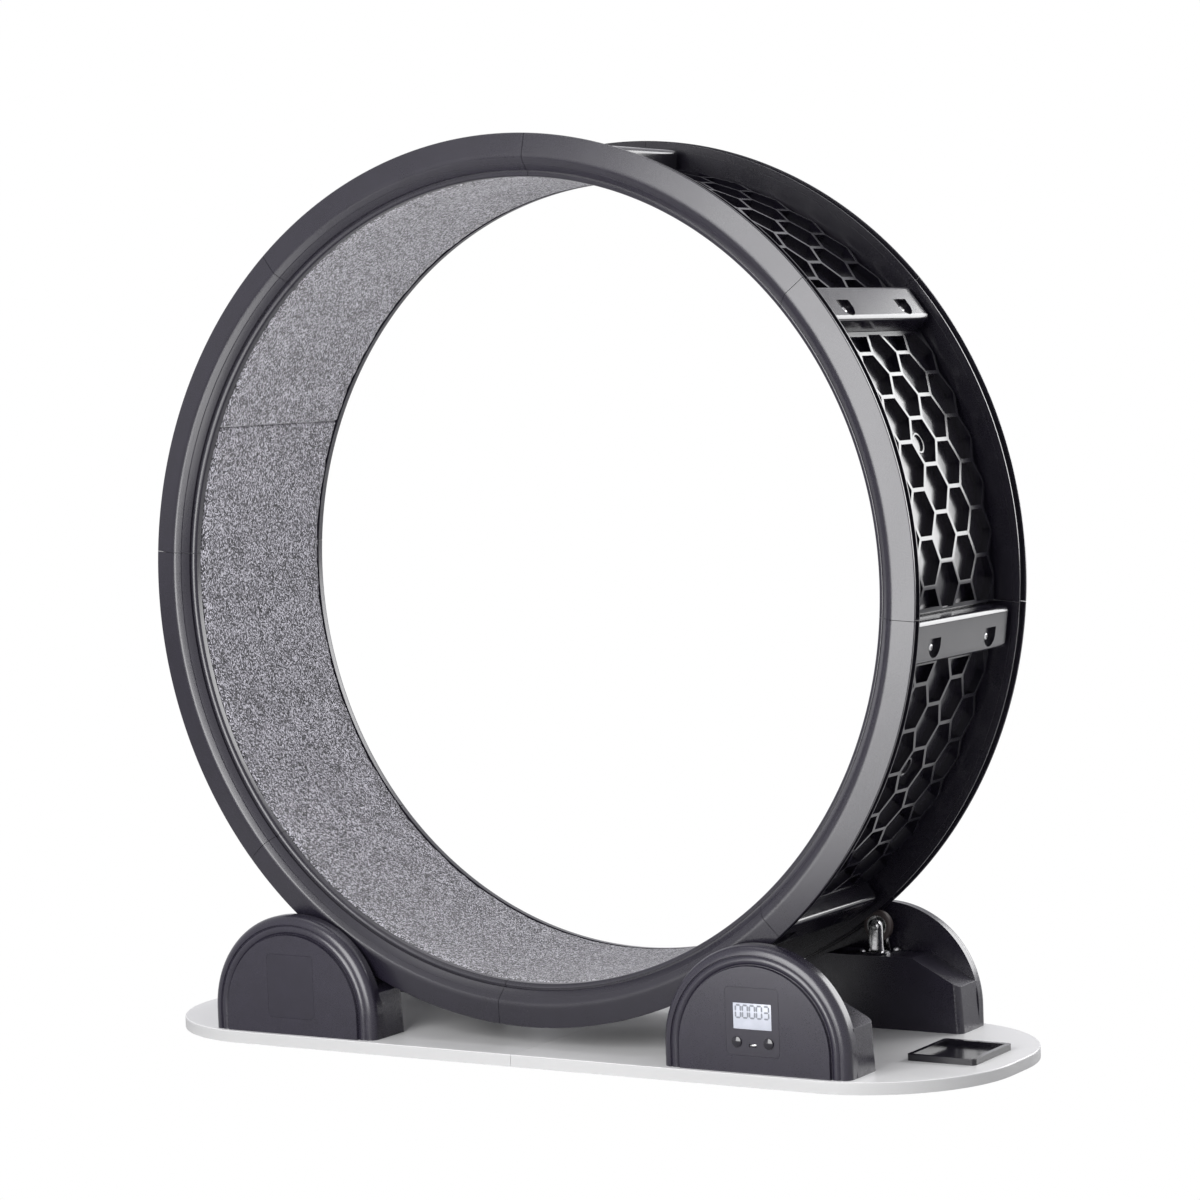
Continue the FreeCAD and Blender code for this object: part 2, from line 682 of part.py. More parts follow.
def tyre(name):
    """Revolve the tyre with bevelled edges."""
    body = new_body(name)
    half, edge = size.roller_width / 2, size.tyre_edge
    inside, outside = size.hub_radius + size.axle_gap, size.roller_radius
    section = new_sketch(body, name + "_section", "XZ_Plane")
    outline(section, ((inside, -half), (outside - edge, -half), (outside, edge - half),
                      (outside, half - edge), (outside - edge, half), (inside, half)))
    turned_feature(body, "Revolution", name + "_moulding", section, 360)
    return body


def fork(name):
    """Make the caster plate with its two upright legs, each with a hole for the axle pin."""
    body = new_body(name)
    plate = new_sketch(body, name + "_plate", "XY_Plane")
    rectangle(plate, -size.fork_plate_length / 2, size.fork_plate_length / 2,
              -size.fork_plate_width / 2, size.fork_plate_width / 2)
    solid_feature(body, "Pad", name + "_base", plate, size.fork_wall)
    for side, start in (("near", size.fork_gap), ("far", -size.fork_gap - size.fork_wall)):
        leg = new_sketch(body, "%s_%s" % (name, side), "XZ_Plane", start)
        low = size.fork_wall / 2
        outline(leg, (
            (-size.fork_foot, low), (size.fork_foot, low),
            (size.fork_head, size.fork_height, size.fork_head, 1),
            (0, size.fork_height + size.fork_head, size.fork_head, 1), (-size.fork_head, size.fork_height)))
        disc(leg, 0, size.fork_height, size.axle_radius + size.axle_gap)
        solid_feature(body, "Pad", "%s_%s_leg" % (name, side), leg, size.fork_wall)
    return body


# ------------------------------------------------------------ stands

def cover_section():
    """Points of the round cover's section, from its back edge to the flat middle, as radius and depth."""
    out, flat = size.stand_radius, size.plateau_radius
    face = stand_face
    groove = face - size.plateau_step - size.bead_rise
    band = (out - flat) / 5
    return (
        (out, cover_back), (out, face - size.cover_slope),
        (out - band * 0.5, face - size.cover_slope * 0.62), (out - band * 1.6, groove - 0.4),
        (out - band * 2.4, groove), (out - band * 3.3, groove + size.bead_rise),
        (out - band * 4.2, groove), (flat + band * 0.25, groove + size.bead_rise * 0.4), (flat, face))


def stand_moulding(name):
    """Make one stand: the round cover on its straight foot and the block that carries a roller."""
    body = new_body(name)
    wall, gap = size.stand_wall, size.panel_gap
    right = [(radius, -depth) for radius, depth in cover_section()]
    left = [(-radius, depth) for radius, depth in reversed(right)]
    arch = new_sketch(body, name + "_arch", "XY_Plane", size.stand_leg)
    outline(arch, right + [(0, -stand_face), (0, -cover_back)])
    turned_feature(body, "Revolution", name + "_cover", arch, 180, flip=True)
    foot = new_sketch(body, name + "_foot", "XY_Plane")
    outline(foot, right + left)
    solid_feature(body, "Pad", name + "_legs", foot, size.stand_leg)
    end = new_sketch(body, name + "_block", "XZ_Plane", stand_inner)
    outline(end, block_outline(0, 0))
    block = solid_feature(body, "Pad", name + "_roller_block", end, cover_back + 1 - stand_inner)
    inner = -number(stand_inner)
    shoulder = number(size.block_shoulder) - 1

    def upright(ends):
        return all(abs(point.y - inner) < 0.01 and abs(point.x) > shoulder for point in ends) \
            and abs(ends[0].z - ends[1].z) > 1

    eased(body, "Fillet", name + "_corners", block, upright, size.block_corner)
    inside = new_sketch(body, name + "_block_hollow", "XZ_Plane", stand_inner + wall)
    outline(inside, block_outline(wall, -1))
    solid_feature(body, "Pocket", name + "_block_core", inside,
                  cover_back - stand_inner, flip=True)
    hollow = new_sketch(body, name + "_cover_hollow", "XZ_Plane", cover_back + wall)
    reach = size.stand_radius - size.cover_slope
    outline(hollow, ((-reach, -1), (reach, -1), (reach, size.stand_leg, reach, 1),
                     (0, size.stand_leg + reach, reach, 1), (-reach, size.stand_leg)))
    solid_feature(body, "Pocket", name + "_cover_core", hollow,
                  size.cover_depth - wall - size.cover_wall, flip=True)
    low = size.panel_centre - size.panel_height / 2
    high = size.panel_centre + size.panel_height / 2
    recess = new_sketch(body, name + "_recess", "XZ_Plane", stand_face - size.panel_plate)
    round_rectangle(recess, size.panel_width / 2 + gap, low - gap, high + gap, size.panel_corner + gap)
    solid_feature(body, "Pocket", name + "_recess_cut", recess, size.panel_plate + 1, flip=True)
    ledge = size.panel_ledge
    window = new_sketch(body, name + "_window", "XZ_Plane", stand_face - size.cover_wall - 1)
    rectangle(window, -size.panel_width / 2 + ledge, size.panel_width / 2 - ledge, low + ledge,
              high - ledge)
    solid_feature(body, "Pocket", name + "_window_cut", window, size.cover_wall, flip=True)
    return body


def block_outline(wall, foot):
    """Outline of the roller block seen along Y, drawn in by a wall."""
    edge = size.block_shoulder - wall
    lean = size.block_foot - size.block_shoulder
    high = block_height - wall
    flat = size.block_flat - wall * 0.25
    shoulder = block_height - size.block_shoulder_drop - wall * 0.75
    start = size.block_foot - wall + lean * 0.02 if foot else size.block_foot
    return ((-start, foot), (start, foot), (edge, shoulder), (flat, high), (-flat, high),
            (-edge, shoulder))


def make_stands():
    """Place four stands, each from the same moulding."""
    first = stand_moulding("stand_front_right")
    left = copy_of(first, "stand_front_left")
    rear_right = copy_of(first, "stand_rear_right")
    rear_left = copy_of(first, "stand_rear_left")
    place(first, stand_x, 0, size.board_thickness)
    place(left, -stand_x, 0, size.board_thickness)
    place(rear_right, stand_x, 0, size.board_thickness, ((Z_AXIS, 180),))
    place(rear_left, -stand_x, 0, size.board_thickness, ((Z_AXIS, 180),))
    return [first, left, rear_right, rear_left]


# ------------------------------------------------------------ meter, covers and sensor

def slab(name, distance, thickness, draw):
    """Make a flat piece that lies behind the face of a stand."""
    body = new_body(name)
    face = new_sketch(body, name + "_face", "XZ_Plane", -distance)
    draw(face)
    solid_feature(body, "Pad", name + "_plate", face, thickness, flip=True)
    return body


def panel_face(sketch):
    """Draw the outline that the meter panel and the blank covers share."""
    round_rectangle(sketch, size.panel_width / 2, size.panel_centre - size.panel_height / 2,
                    size.panel_centre + size.panel_height / 2, size.panel_corner)


def screen_face(sketch, gap=0):
    """Draw the display window."""
    half = size.screen_height / 2 - gap
    rectangle(sketch, -size.screen_width / 2 + gap, size.screen_width / 2 - gap,
              size.screen_centre - half, size.screen_centre + half)


def socket_face(sketch, gap=0):
    """Draw the mouth of the charging socket."""
    rectangle(sketch, -size.socket_width / 2 - gap, size.socket_width / 2 + gap,
              size.socket_centre - size.socket_height / 2 - gap,
              size.socket_centre + size.socket_height / 2 + gap)


def meter_face(sketch):
    """Draw the meter panel with its window, button holes and socket."""
    panel_face(sketch)
    screen_face(sketch)
    socket_face(sketch, size.button_gap)
    for side in (-1, 1):
        disc(sketch, size.button_spacing / 2 * side, size.button_centre,
             size.button_radius + size.button_gap)


def button(name):
    """Revolve a domed button with the collar that keeps it behind the panel."""
    body = new_body(name)
    section = new_sketch(body, name + "_section", "XY_Plane")
    stand, dome, radius = size.button_stand, size.button_dome, size.button_radius
    curve = (radius * radius + dome * dome) / (dome * 2)
    back = size.panel_plate + size.button_gap
    outline(section, (
        (0, -stand - dome, curve, 1), (radius, -stand), (radius, back),
        (radius + size.button_collar, back), (radius + size.button_collar, back + size.button_collar),
        (0, back + size.button_collar)))
    turned_feature(body, "Revolution", name + "_cap", section, 360)
    return body


def make_meter():
    """Make the meter in the front right stand, the blank covers of the others and the sensor."""
    gap = size.button_gap
    margin = size.panel_ledge + 1
    depth = circuit_depth

    def circuit_face(sketch):
        rectangle(sketch, -size.panel_width / 2 + margin, size.panel_width / 2 - margin,
                  size.panel_centre - size.panel_height / 2 + margin,
                  size.panel_centre + size.panel_height / 2 - margin)

    def cell_face(sketch):
        disc(sketch, 0, size.panel_centre, size.battery_radius)

    def sensor_face(sketch):
        half = size.sensor_size / 2
        rectangle(sketch, -size.sensor_offset - half, -size.sensor_offset + half,
                  size.sensor_height - half, size.sensor_height + half)

    pieces = [
        slab("meter_panel", 0, size.panel_plate, meter_face),
        slab("lcd_screen", size.screen_sink, depth - size.screen_sink,
             lambda sketch: screen_face(sketch, gap)),
        slab("usb_socket", size.screen_sink, depth - size.screen_sink, socket_face),
        slab("meter_circuit_board", depth, size.circuit_thickness, circuit_face),
        slab("meter_battery", depth + size.circuit_thickness, size.battery_thickness, cell_face),
        slab("wheel_sensor", size.cover_depth - size.stand_wall - size.sensor_depth,
             size.sensor_depth, sensor_face)]
    for piece in pieces:
        place(piece, stand_x, -stand_face, size.board_thickness)
    for side, name in ((-1, "meter_button_left"), (1, "meter_button_right")):
        cap = button(name)
        pieces.append(place(cap, stand_x + size.button_spacing / 2 * side, -stand_face,
                            size.board_thickness + size.button_centre))
    first = slab("blank_cover_front_left", 0, size.panel_plate, panel_face)
    place(first, -stand_x, -stand_face, size.board_thickness)
    pieces.append(first)
    for name, x in (("blank_cover_rear_right", stand_x), ("blank_cover_rear_left", -stand_x)):
        cover = copy_of(first, name)
        pieces.append(place(cover, x, stand_face, size.board_thickness, ((Z_AXIS, 180),)))
    return pieces


# ------------------------------------------------------------ base board and tray

def board_half(name):
    """Make one half of the base board with the recess for the joining plate."""
    body = new_body(name)
    left, right = size.board_joint / 2, size.board_length / 2
    half, corner = stand_face + size.board_margin, size.board_corner
    top = new_sketch(body, name + "_outline", "XY_Plane")
    outline(top, (
        (left, -half), (right - corner, -half, corner, 1), (right, -half + corner),
        (right, half - corner, corner, 1), (right - corner, half), (left, half)))
    pad = solid_feature(body, "Pad", name + "_plate", top, size.board_thickness)
    height = number(size.board_thickness)
    joint = number(left) + 0.01

    def upper_edge(ends):
        return all(abs(point.z - height) < 0.01 for point in ends) \
            and max(point.x for point in ends) > joint

    eased(body, "Chamfer", name + "_edge", pad, upper_edge, size.board_edge)
    recess = new_sketch(body, name + "_recess", "XY_Plane", -1)
    reach = size.plate_length / 2 + size.fit_gap
    across = size.plate_width / 2 + size.fit_gap
    rectangle(recess, -5, reach, -across, across)
    solid_feature(body, "Pocket", name + "_recess_cut", recess,
                  size.plate_thickness + size.fit_gap + 1, flip=True)
    return body


def make_base():
    """Make the two board halves, the plate that joins them and the tray."""
    right = board_half("board_right")
    place(right)
    left = copy_of(right, "board_left")
    place(left, 0, 0, 0, ((Z_AXIS, 180),))
    plate = doc.addObject("Part::Box", "board_joining_plate")
    for path, value in (("Length", size.plate_length), ("Width", size.plate_width),
                        ("Height", size.plate_thickness)):
        plate.setExpression(path, formula(value))
    place(plate, -size.plate_length / 2, -size.plate_width / 2, size.fit_gap)
    tray = new_body("accessory_tray")
    foot = new_sketch(tray, "tray_outline", "XY_Plane")
    half_width = size.tray_width / 2
    round_rectangle(foot, size.tray_length / 2, -half_width, half_width, size.tray_corner)
    solid_feature(tray, "Pad", "tray_body", foot, size.tray_height)
    well = new_sketch(tray, "tray_well", "XY_Plane", size.tray_floor)
    rim = size.tray_rim
    rectangle(well, -size.tray_length / 2 + rim, size.tray_length / 2 - rim, rim - half_width,
              half_width - rim)
    solid_feature(tray, "Pocket", "tray_well_cut", well, size.tray_height, flip=True)
    place(tray, size.board_length / 2 - size.tray_inset, 0, size.board_thickness)
    return [right, left, plate, tray]


def check(pieces):
    """Stop if anything failed to build."""
    failed = [item.Name for item in doc.Objects if {"Invalid", "Error"} & set(item.State)]
    if failed:
        raise RuntimeError("not built: " + ", ".join(failed))
    for piece in pieces:
        if piece.Shape.isNull() or not piece.Shape.isValid():
            raise RuntimeError("no valid shape: " + piece.Label)


def main():
    """Build every sub-part and write one file for each."""
    pieces = make_panels() + make_rims() + make_carpet() + make_rollers()
    pieces += make_stands() + make_meter() + make_base()
    doc.recompute()
    check(pieces)
    os.makedirs("parts", exist_ok=True)
    for piece in pieces:
        piece.Shape.exportStep("parts/%s.step" % piece.Label)


main()
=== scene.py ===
"""Looks of the cat exercise wheel: finishes, fine pieces, camera and light over the CAD frame."""
import json
import logging
import math
from dataclasses import dataclass, field
from enum import Enum
from typing import ClassVar, Iterable, Sequence

import bpy
import numpy as np
from mathutils import Matrix, Vector


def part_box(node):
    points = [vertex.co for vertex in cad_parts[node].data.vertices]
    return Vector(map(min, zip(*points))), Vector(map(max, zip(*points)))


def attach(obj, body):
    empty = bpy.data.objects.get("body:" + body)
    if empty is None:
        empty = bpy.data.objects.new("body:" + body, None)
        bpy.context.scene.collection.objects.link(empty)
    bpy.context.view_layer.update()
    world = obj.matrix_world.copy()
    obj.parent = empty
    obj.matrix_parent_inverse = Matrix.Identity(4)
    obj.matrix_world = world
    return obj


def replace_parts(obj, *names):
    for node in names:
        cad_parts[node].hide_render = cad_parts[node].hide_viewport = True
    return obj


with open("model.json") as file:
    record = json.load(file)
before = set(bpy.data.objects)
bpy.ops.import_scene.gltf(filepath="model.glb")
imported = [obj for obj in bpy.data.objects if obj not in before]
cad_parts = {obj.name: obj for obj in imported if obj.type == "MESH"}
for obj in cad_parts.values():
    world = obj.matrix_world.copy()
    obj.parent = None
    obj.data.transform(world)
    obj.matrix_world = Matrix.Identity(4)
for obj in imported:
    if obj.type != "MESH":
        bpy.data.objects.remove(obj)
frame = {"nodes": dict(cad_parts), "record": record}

log = logging.getLogger("cat_wheel")

MM = 0.001
NODES: dict[str, bpy.types.Object] = frame["nodes"]


# ---------------------------------------------------------------- measures taken from the frame

@dataclass(frozen=True)
class Measures:
    """Places and sizes of the wheel and its base, in metres, read from the CAD nodes."""

    wheel_radius: float
    axle_height: float
    board_top: float
    stand_x: float
    stand_face: float
    sectors: int = 8
    seam_degrees: float = -4.4

    @classmethod
    def from_frame(cls) -> "Measures":
        """Read the boxes of the CAD nodes.

        Returns:
            The measures of this build.
        """
        rims = [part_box(name) for name in NODES if name.startswith("front_rim")]
        low = min(corner[0].z for corner in rims)
        high = max(corner[1].z for corner in rims)
        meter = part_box("meter_panel")
        return cls(
            wheel_radius=(high - low) / 2,
            axle_height=(high + low) / 2,
            board_top=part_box("board_right")[1].z,
            stand_x=(meter[0].x + meter[1].x) / 2,
            stand_face=-meter[0].y,
        )

    @property
    def sector(self) -> float:
        """Angle of one tread panel, in radians."""
        return math.tau / self.sectors


SIZE = Measures.from_frame()


# ---------------------------------------------------------------- meshes

def wheel_points(radius: np.ndarray, angle: np.ndarray, side: np.ndarray) -> np.ndarray:
    """Turn wheel coordinates into places.

    The height is the axle height plus radius times the sine of the angle, x is radius times its
    cosine, and y is the distance to the side.

    Args:
        radius: Distances from the axle line.
        angle: Angles from +X towards +Z, in radians.
        side: Distances from the middle plane along Y.

    Returns:
        An array of places with a last axis of three.
    """
    parts = (radius * np.cos(angle), side + 0 * angle, SIZE.axle_height + radius * np.sin(angle))
    return np.stack(np.broadcast_arrays(*parts), axis=-1)


def grid_faces(rows: int, columns: int, wrap_rows: bool = False, wrap_columns: bool = False,
               flip: bool = False) -> np.ndarray:
    """Number the four-sided faces of a grid of points.

    Args:
        rows: Number of point rows.
        columns: Points in each row.
        wrap_rows: Join the last row to the first.
        wrap_columns: Join the last column to the first.
        flip: Turn the faces over.

    Returns:
        An array of faces, four point numbers each.
    """
    row = np.arange(rows if wrap_rows else rows - 1)[:, None]
    column = np.arange(columns if wrap_columns else columns - 1)[None, :]
    next_row = (row + 1) % rows
    next_column = (column + 1) % columns
    corners = [row * columns + column, row * columns + next_column,
               next_row * columns + next_column, next_row * columns + column]
    faces = np.stack(np.broadcast_arrays(*corners), axis=-1).reshape(-1, 4)
    return faces[:, ::-1] if flip else faces


def make_mesh(name: str, points: np.ndarray, faces: Iterable[Sequence[int]],
              sharp_degrees: float = 35.0) -> bpy.types.Object:
    """Make an object at the origin from whole arrays.

    Args:
        name: Name of the object.
        points: Places of the vertices, the last axis of three.
        faces: Vertex numbers of each face.
        sharp_degrees: Edges bent by more than this stay sharp.

    Returns:
        The new object, linked to the scene.
    """
    mesh = bpy.data.meshes.new(name)
    listed = [list(map(int, face)) for face in faces]
    mesh.from_pydata(np.asarray(points, float).reshape(-1, 3).tolist(), [], listed)
    mesh.validate()
    mesh.polygons.foreach_set("use_smooth", np.ones(len(mesh.polygons), bool))
    mesh.set_sharp_from_angle(angle=math.radians(sharp_degrees))
    mesh.update()
    item = bpy.data.objects.new(name, mesh)
    bpy.context.scene.collection.objects.link(item)
    return item


def closed_stack(points: np.ndarray) -> tuple[np.ndarray, list[Sequence[int]]]:
    """Close a stack of equal closed sections.

    Args:
        points: Array of sections by points by three.

    Returns:
        Vertices and faces, with a cap at both ends.
    """
    sections, count = points.shape[:2]
    first = points[0].mean(axis=0)
    corner_cross = np.cross(points[0] - first, np.roll(points[0], -1, axis=0) - first).sum(axis=0)
    along = points[1].mean(axis=0) - first
    flip = float(np.dot(corner_cross, along)) < 0
    faces = list(grid_faces(sections, count, wrap_columns=True, flip=flip))
    start = np.arange(count)
    end = start + (sections - 1) * count
    caps = [start[::-1], end] if not flip else [start, end[::-1]]
    return points.reshape(-1, 3), faces + caps


def swept_solid(name: str, points: np.ndarray, sharp_degrees: float = 35.0) -> bpy.types.Object:
    """Make a solid from a stack of equal closed sections.

    Args:
        name: Name of the object.
        points: Array of sections by points by three.
        sharp_degrees: Edges bent by more than this stay sharp.

    Returns:
        The new object.
    """
    return make_mesh(name, *closed_stack(points), sharp_degrees)


def swept_on_wheel(name: str, profile: np.ndarray, start: float, stop: float, steps: int,
                   sharp_degrees: float = 35.0) -> bpy.types.Object:
    """Sweep a closed profile of radius and side round the axle line.

    Args:
        name: Name of the object.
        profile: Array of points by two: radius and side.
        start: First angle, in radians.
        stop: Last angle, in radians.
        steps: Number of sections.
        sharp_degrees: Edges bent by more than this stay sharp.

    Returns:
        The new object.
    """
    angle = np.linspace(start, stop, steps)[:, None]
    return swept_solid(name, wheel_points(profile[None, :, 0], angle, profile[None, :, 1]), sharp_degrees)


def lathe(profile: np.ndarray, centre: Vector, outward: Vector, steps: int = 32,
          closed: bool = False) -> tuple[np.ndarray, np.ndarray]:
    """Turn a profile of radius and height round an axis through a centre.

    Args:
        profile: Array of points by two: radius and height along the axis.
        centre: Foot of the axis.
        outward: Direction of the axis.
        steps: Points round the axis.
        closed: Whether the profile is a closed loop.

    Returns:
        Vertices and faces.
    """
    axis = outward.normalized()
    side = axis.orthogonal().normalized()
    other = axis.cross(side)
    turn = np.linspace(0, math.tau, steps, endpoint=False)[None, :, None]
    radius, height = profile[:, 0][:, None, None], profile[:, 1][:, None, None]
    points = (np.array(centre) + radius * (np.cos(turn) * np.array(side) + np.sin(turn) * np.array(other))
              + height * np.array(axis))
    return points.reshape(-1, 3), grid_faces(len(profile), steps, closed, True)


def joined(name: str, pieces: Sequence[tuple[np.ndarray, Iterable[Sequence[int]]]],
           sharp_degrees: float = 35.0) -> bpy.types.Object:
    """Join several lists of vertices and faces into one object.

    Args:
        name: Name of the object.
        pieces: Vertices and faces of each.
        sharp_degrees: Edges bent by more than this stay sharp.

    Returns:
        The new object.
    """
    counts = np.cumsum([0] + [len(points) for points, _ in pieces[:-1]])
    points = np.concatenate([points for points, _ in pieces])
    faces = [np.asarray(face) + count for (_, listed), count in zip(pieces, counts) for face in listed]
    return make_mesh(name, points, faces, sharp_degrees)


# ---------------------------------------------------------------- shader graphs

class Graph:
    """A short way to write a node tree."""

    def __init__(self, name: str) -> None:
        """Start a material.

        Args:
            name: Name of the material.
        """
        self.material = bpy.data.materials.new(name)
        self.material.use_nodes = True
        self.tree = self.material.node_tree
        self.tree.nodes.clear()
        self.output = self.tree.nodes.new("ShaderNodeOutputMaterial")
        self.place = self.node("ShaderNodeTexCoord").outputs["Object"]

    def node(self, kind: str, inputs: dict[str | int, object] | None = None,
             **settings: object) -> bpy.types.Node:
        """Add a node.

        Args:
            kind: Type of the node.
            inputs: Values or sockets for its inputs.
            settings: Properties of the node.

        Returns:
            The node.
        """
        item = self.tree.nodes.new(kind)
        for key, value in settings.items():
            setattr(item, key, value)
        for key, value in (inputs or {}).items():
            if isinstance(value, bpy.types.NodeSocket):
                self.tree.links.new(value, item.inputs[key])
            else:
                item.inputs[key].default_value = value
        return item

    def math(self, operation: str, first: object, second: object = 0.0) -> bpy.types.NodeSocket:
        """Add a calculation.

        Args:
            operation: Name of the calculation.
            first: First value or socket.
            second: Second value or socket.

        Returns:
            The socket of the result.
        """
        return self.node("ShaderNodeMath", {0: first, 1: second}, operation=operation).outputs[0]

    def noise(self, scale: float, detail: float = 3.0, place: bpy.types.NodeSocket | None = None,
              roughness: float = 0.5) -> bpy.types.NodeSocket:
        """Add a noise pattern.

        Args:
            scale: Grains in a metre.
            detail: How many finer layers are added.
            place: Coordinates, or nothing for the object's own.
            roughness: Share of the finer layers.

        Returns:
            The socket of the value.
        """
        return self.node("ShaderNodeTexNoise", {
            "Vector": place or self.place, "Scale": scale, "Detail": detail,
            "Roughness": roughness}).outputs[0]

    def spread(self, value: bpy.types.NodeSocket, low: float, high: float, start: float = 0.0,
               stop: float = 1.0) -> bpy.types.NodeSocket:
        """Map a value from one range to another.

        Args:
            value: The value's socket.
            low: Result at the start.
            high: Result at the stop.
            start: Value that gives the low result.
            stop: Value that gives the high result.

        Returns:
            The socket of the result.
        """
        return self.node("ShaderNodeMapRange", {"Value": value, "From Min": start, "From Max": stop,
                                                "To Min": low, "To Max": high}).outputs[0]

    def mix(self, share: object, first: object, second: object) -> bpy.types.NodeSocket:
        """Mix two colours.

        Args:
            share: Share of the second colour.
            first: First colour or socket.
            second: Second colour or socket.

        Returns:
            The socket of the colour.
        """
        item = self.node("ShaderNodeMix", data_type="RGBA")
        for index, value in ((0, share), (6, first), (7, second)):
            if isinstance(value, bpy.types.NodeSocket):
                self.tree.links.new(value, item.inputs[index])
            else:
                item.inputs[index].default_value = value
        return item.outputs[2]

    def bump(self, height: bpy.types.NodeSocket, distance: float,
             strength: float = 1.0) -> bpy.types.NodeSocket:
        """Turn a height into a normal.

        Args:
            height: The height's socket.
            distance: Depth of the relief, in metres.
            strength: How much of it shows.

        Returns:
            The socket of the normal.
        """
        return self.node("ShaderNodeBump", {"Height": height, "Distance": distance,
                                            "Strength": strength}).outputs[0]

    def finish(self, **inputs: object) -> bpy.types.Material:
        """Add the surface and link it to the output.

        Args:
            inputs: Inputs of the surface by name, with underscores for spaces.

        Returns:
            The finished material.
        """
        named = {key.replace("_", " "): value for key, value in inputs.items()}
        surface = self.node("ShaderNodeBsdfPrincipled", named)
        self.tree.links.new(surface.outputs[0], self.output.inputs[0])
        return self.material


def grey(value: float, tint: float = 0.0) -> tuple[float, float, float, float]:
    """Make a grey.

    Args:
        value: Its brightness.
        tint: Above zero it adds violet blue, and below zero brown.

    Returns:
        Red, green, blue and opacity.
    """
    green = 1 - tint * 0.3 if tint > 0 else 1 + tint * 0.9
    return (value, value * green, value * (1 + tint), 1.0)


@dataclass(frozen=True)
class Plastic:
    """A moulded plastic: its grey, how rough it is and how coarse its grain is."""

    name: str
    value: float
    roughness: float
    grain: float
    grain_depth: float
    specular: float = 0.5
    tint: float = 0.5
    cloud: ClassVar[float] = 9.0
    wear: ClassVar[float] = 55.0

    def build(self) -> bpy.types.Material:
        """Make the material.

        Returns:
            A material with grain in its height and soft changes in its gloss.
        """
        graph = Graph(self.name)
        large = graph.noise(self.cloud, 4.0)
        fine = graph.noise(self.grain, 2.0)
        wear = graph.noise(self.wear, 6.0, roughness=0.7)
        colour = graph.mix(graph.spread(wear, 0.0, 1.0, 0.35, 0.65), grey(self.value * 0.9, self.tint),
                           grey(self.value * 1.12, self.tint))
        rough = graph.math("ADD", graph.spread(large, self.roughness * 0.9, self.roughness * 1.1,
                                               0.3, 0.7),
                           graph.spread(fine, -0.02, 0.02, 0.3, 0.7))
        return graph.finish(Base_Color=colour, Roughness=rough, Specular_IOR_Level=self.specular,
                            Normal=graph.bump(fine, self.grain_depth))


@dataclass(frozen=True)
class Metal:
    """A metal with fine marks left by turning or rolling."""

    name: str
    value: float
    roughness: float
    streak: float
    stretch: ClassVar[float] = 12.0
    blotch: ClassVar[float] = 140.0
    streak_depth: ClassVar[float] = 0.00003

    def build(self) -> bpy.types.Material:
        """Make the material.

        Returns:
            A metal whose gloss varies in fine streaks.
        """
        graph = Graph(self.name)
        stretched = graph.node("ShaderNodeMapping", {
            "Vector": graph.place, "Scale": (1.0, self.stretch, 1.0)}).outputs[0]
        streaks = graph.noise(self.streak, 3.0, stretched)
        blotch = graph.noise(self.blotch, 3.0)
        rough = graph.spread(streaks, self.roughness * 0.75, self.roughness * 1.35, 0.3, 0.7)
        colour = graph.mix(graph.spread(blotch, 0.0, 1.0, 0.3, 0.7), grey(self.value * 0.9),
                           grey(self.value))
        return graph.finish(Base_Color=colour, Metallic=1.0, Roughness=rough,
                            Normal=graph.bump(streaks, self.streak_depth))


@dataclass(frozen=True)
class Carpet:
    """A looped heather carpet with rows of small loops."""

    name: str
    loop: float = 0.0013
    dark: float = 0.008
    light: float = 0.55
    middle: float = 0.076
    fibre: float = 1300.0
    patch: float = 22.0
    wander: float = 60.0
    pile_depth: float = 0.0016

    def build(self) -> bpy.types.Material:
        """Make the material.

        Returns:
            A cloth with mixed light and dark loops in rows, read from the strip's own map.
        """
        graph = Graph(self.name)
        strip = graph.node("ShaderNodeUVMap", uv_map="strip").outputs[0]
        wave = graph.noise(self.wander, 2.0, strip)
        shift = graph.node("ShaderNodeCombineXYZ", {
            0: graph.spread(wave, -0.002, 0.002), 1: graph.spread(wave, 0.001, -0.001)}).outputs[0]
        shifted = graph.node("ShaderNodeVectorMath", {0: strip, 1: shift}, operation="ADD").outputs[0]
        cells = graph.node("ShaderNodeMapping", {
            "Vector": shifted, "Scale": (0.8 / self.loop, 1.0 / self.loop, 1.0)}).outputs[0]
        loops = graph.node("ShaderNodeTexVoronoi", {
            "Vector": cells, "Scale": 1.0, "Randomness": 0.8}, voronoi_dimensions="2D")
        shade = graph.node("ShaderNodeSeparateColor", {0: loops.outputs["Color"]}).outputs[0]
        fibres = graph.noise(self.fibre, 2.0, strip)
        patches = graph.noise(self.patch, 3.0, strip)
        tone = graph.math("ADD", shade, graph.spread(patches, -0.06, 0.06, 0.3, 0.7))
        tone = graph.math("ADD", tone, graph.spread(fibres, -0.22, 0.22, 0.25, 0.75))
        ramp = graph.node("ShaderNodeValToRGB", {0: tone})
        steps = ramp.color_ramp
        steps.elements[0].position, steps.elements[0].color = 0.2, grey(self.dark, 0.25)
        steps.elements[1].position, steps.elements[1].color = 0.9, grey(self.light, 0.08)
        middle = steps.elements.new(0.48)
        middle.color = grey(self.middle, 0.15)
        height = graph.math("SUBTRACT", graph.spread(fibres, 0.0, 0.35), loops.outputs["Distance"])
        return graph.finish(Base_Color=ramp.outputs[0], Roughness=0.95, Specular_IOR_Level=0.15,
                            Sheen_Weight=0.5, Sheen_Roughness=0.4,
                            Normal=graph.bump(height, self.pile_depth, 0.9))


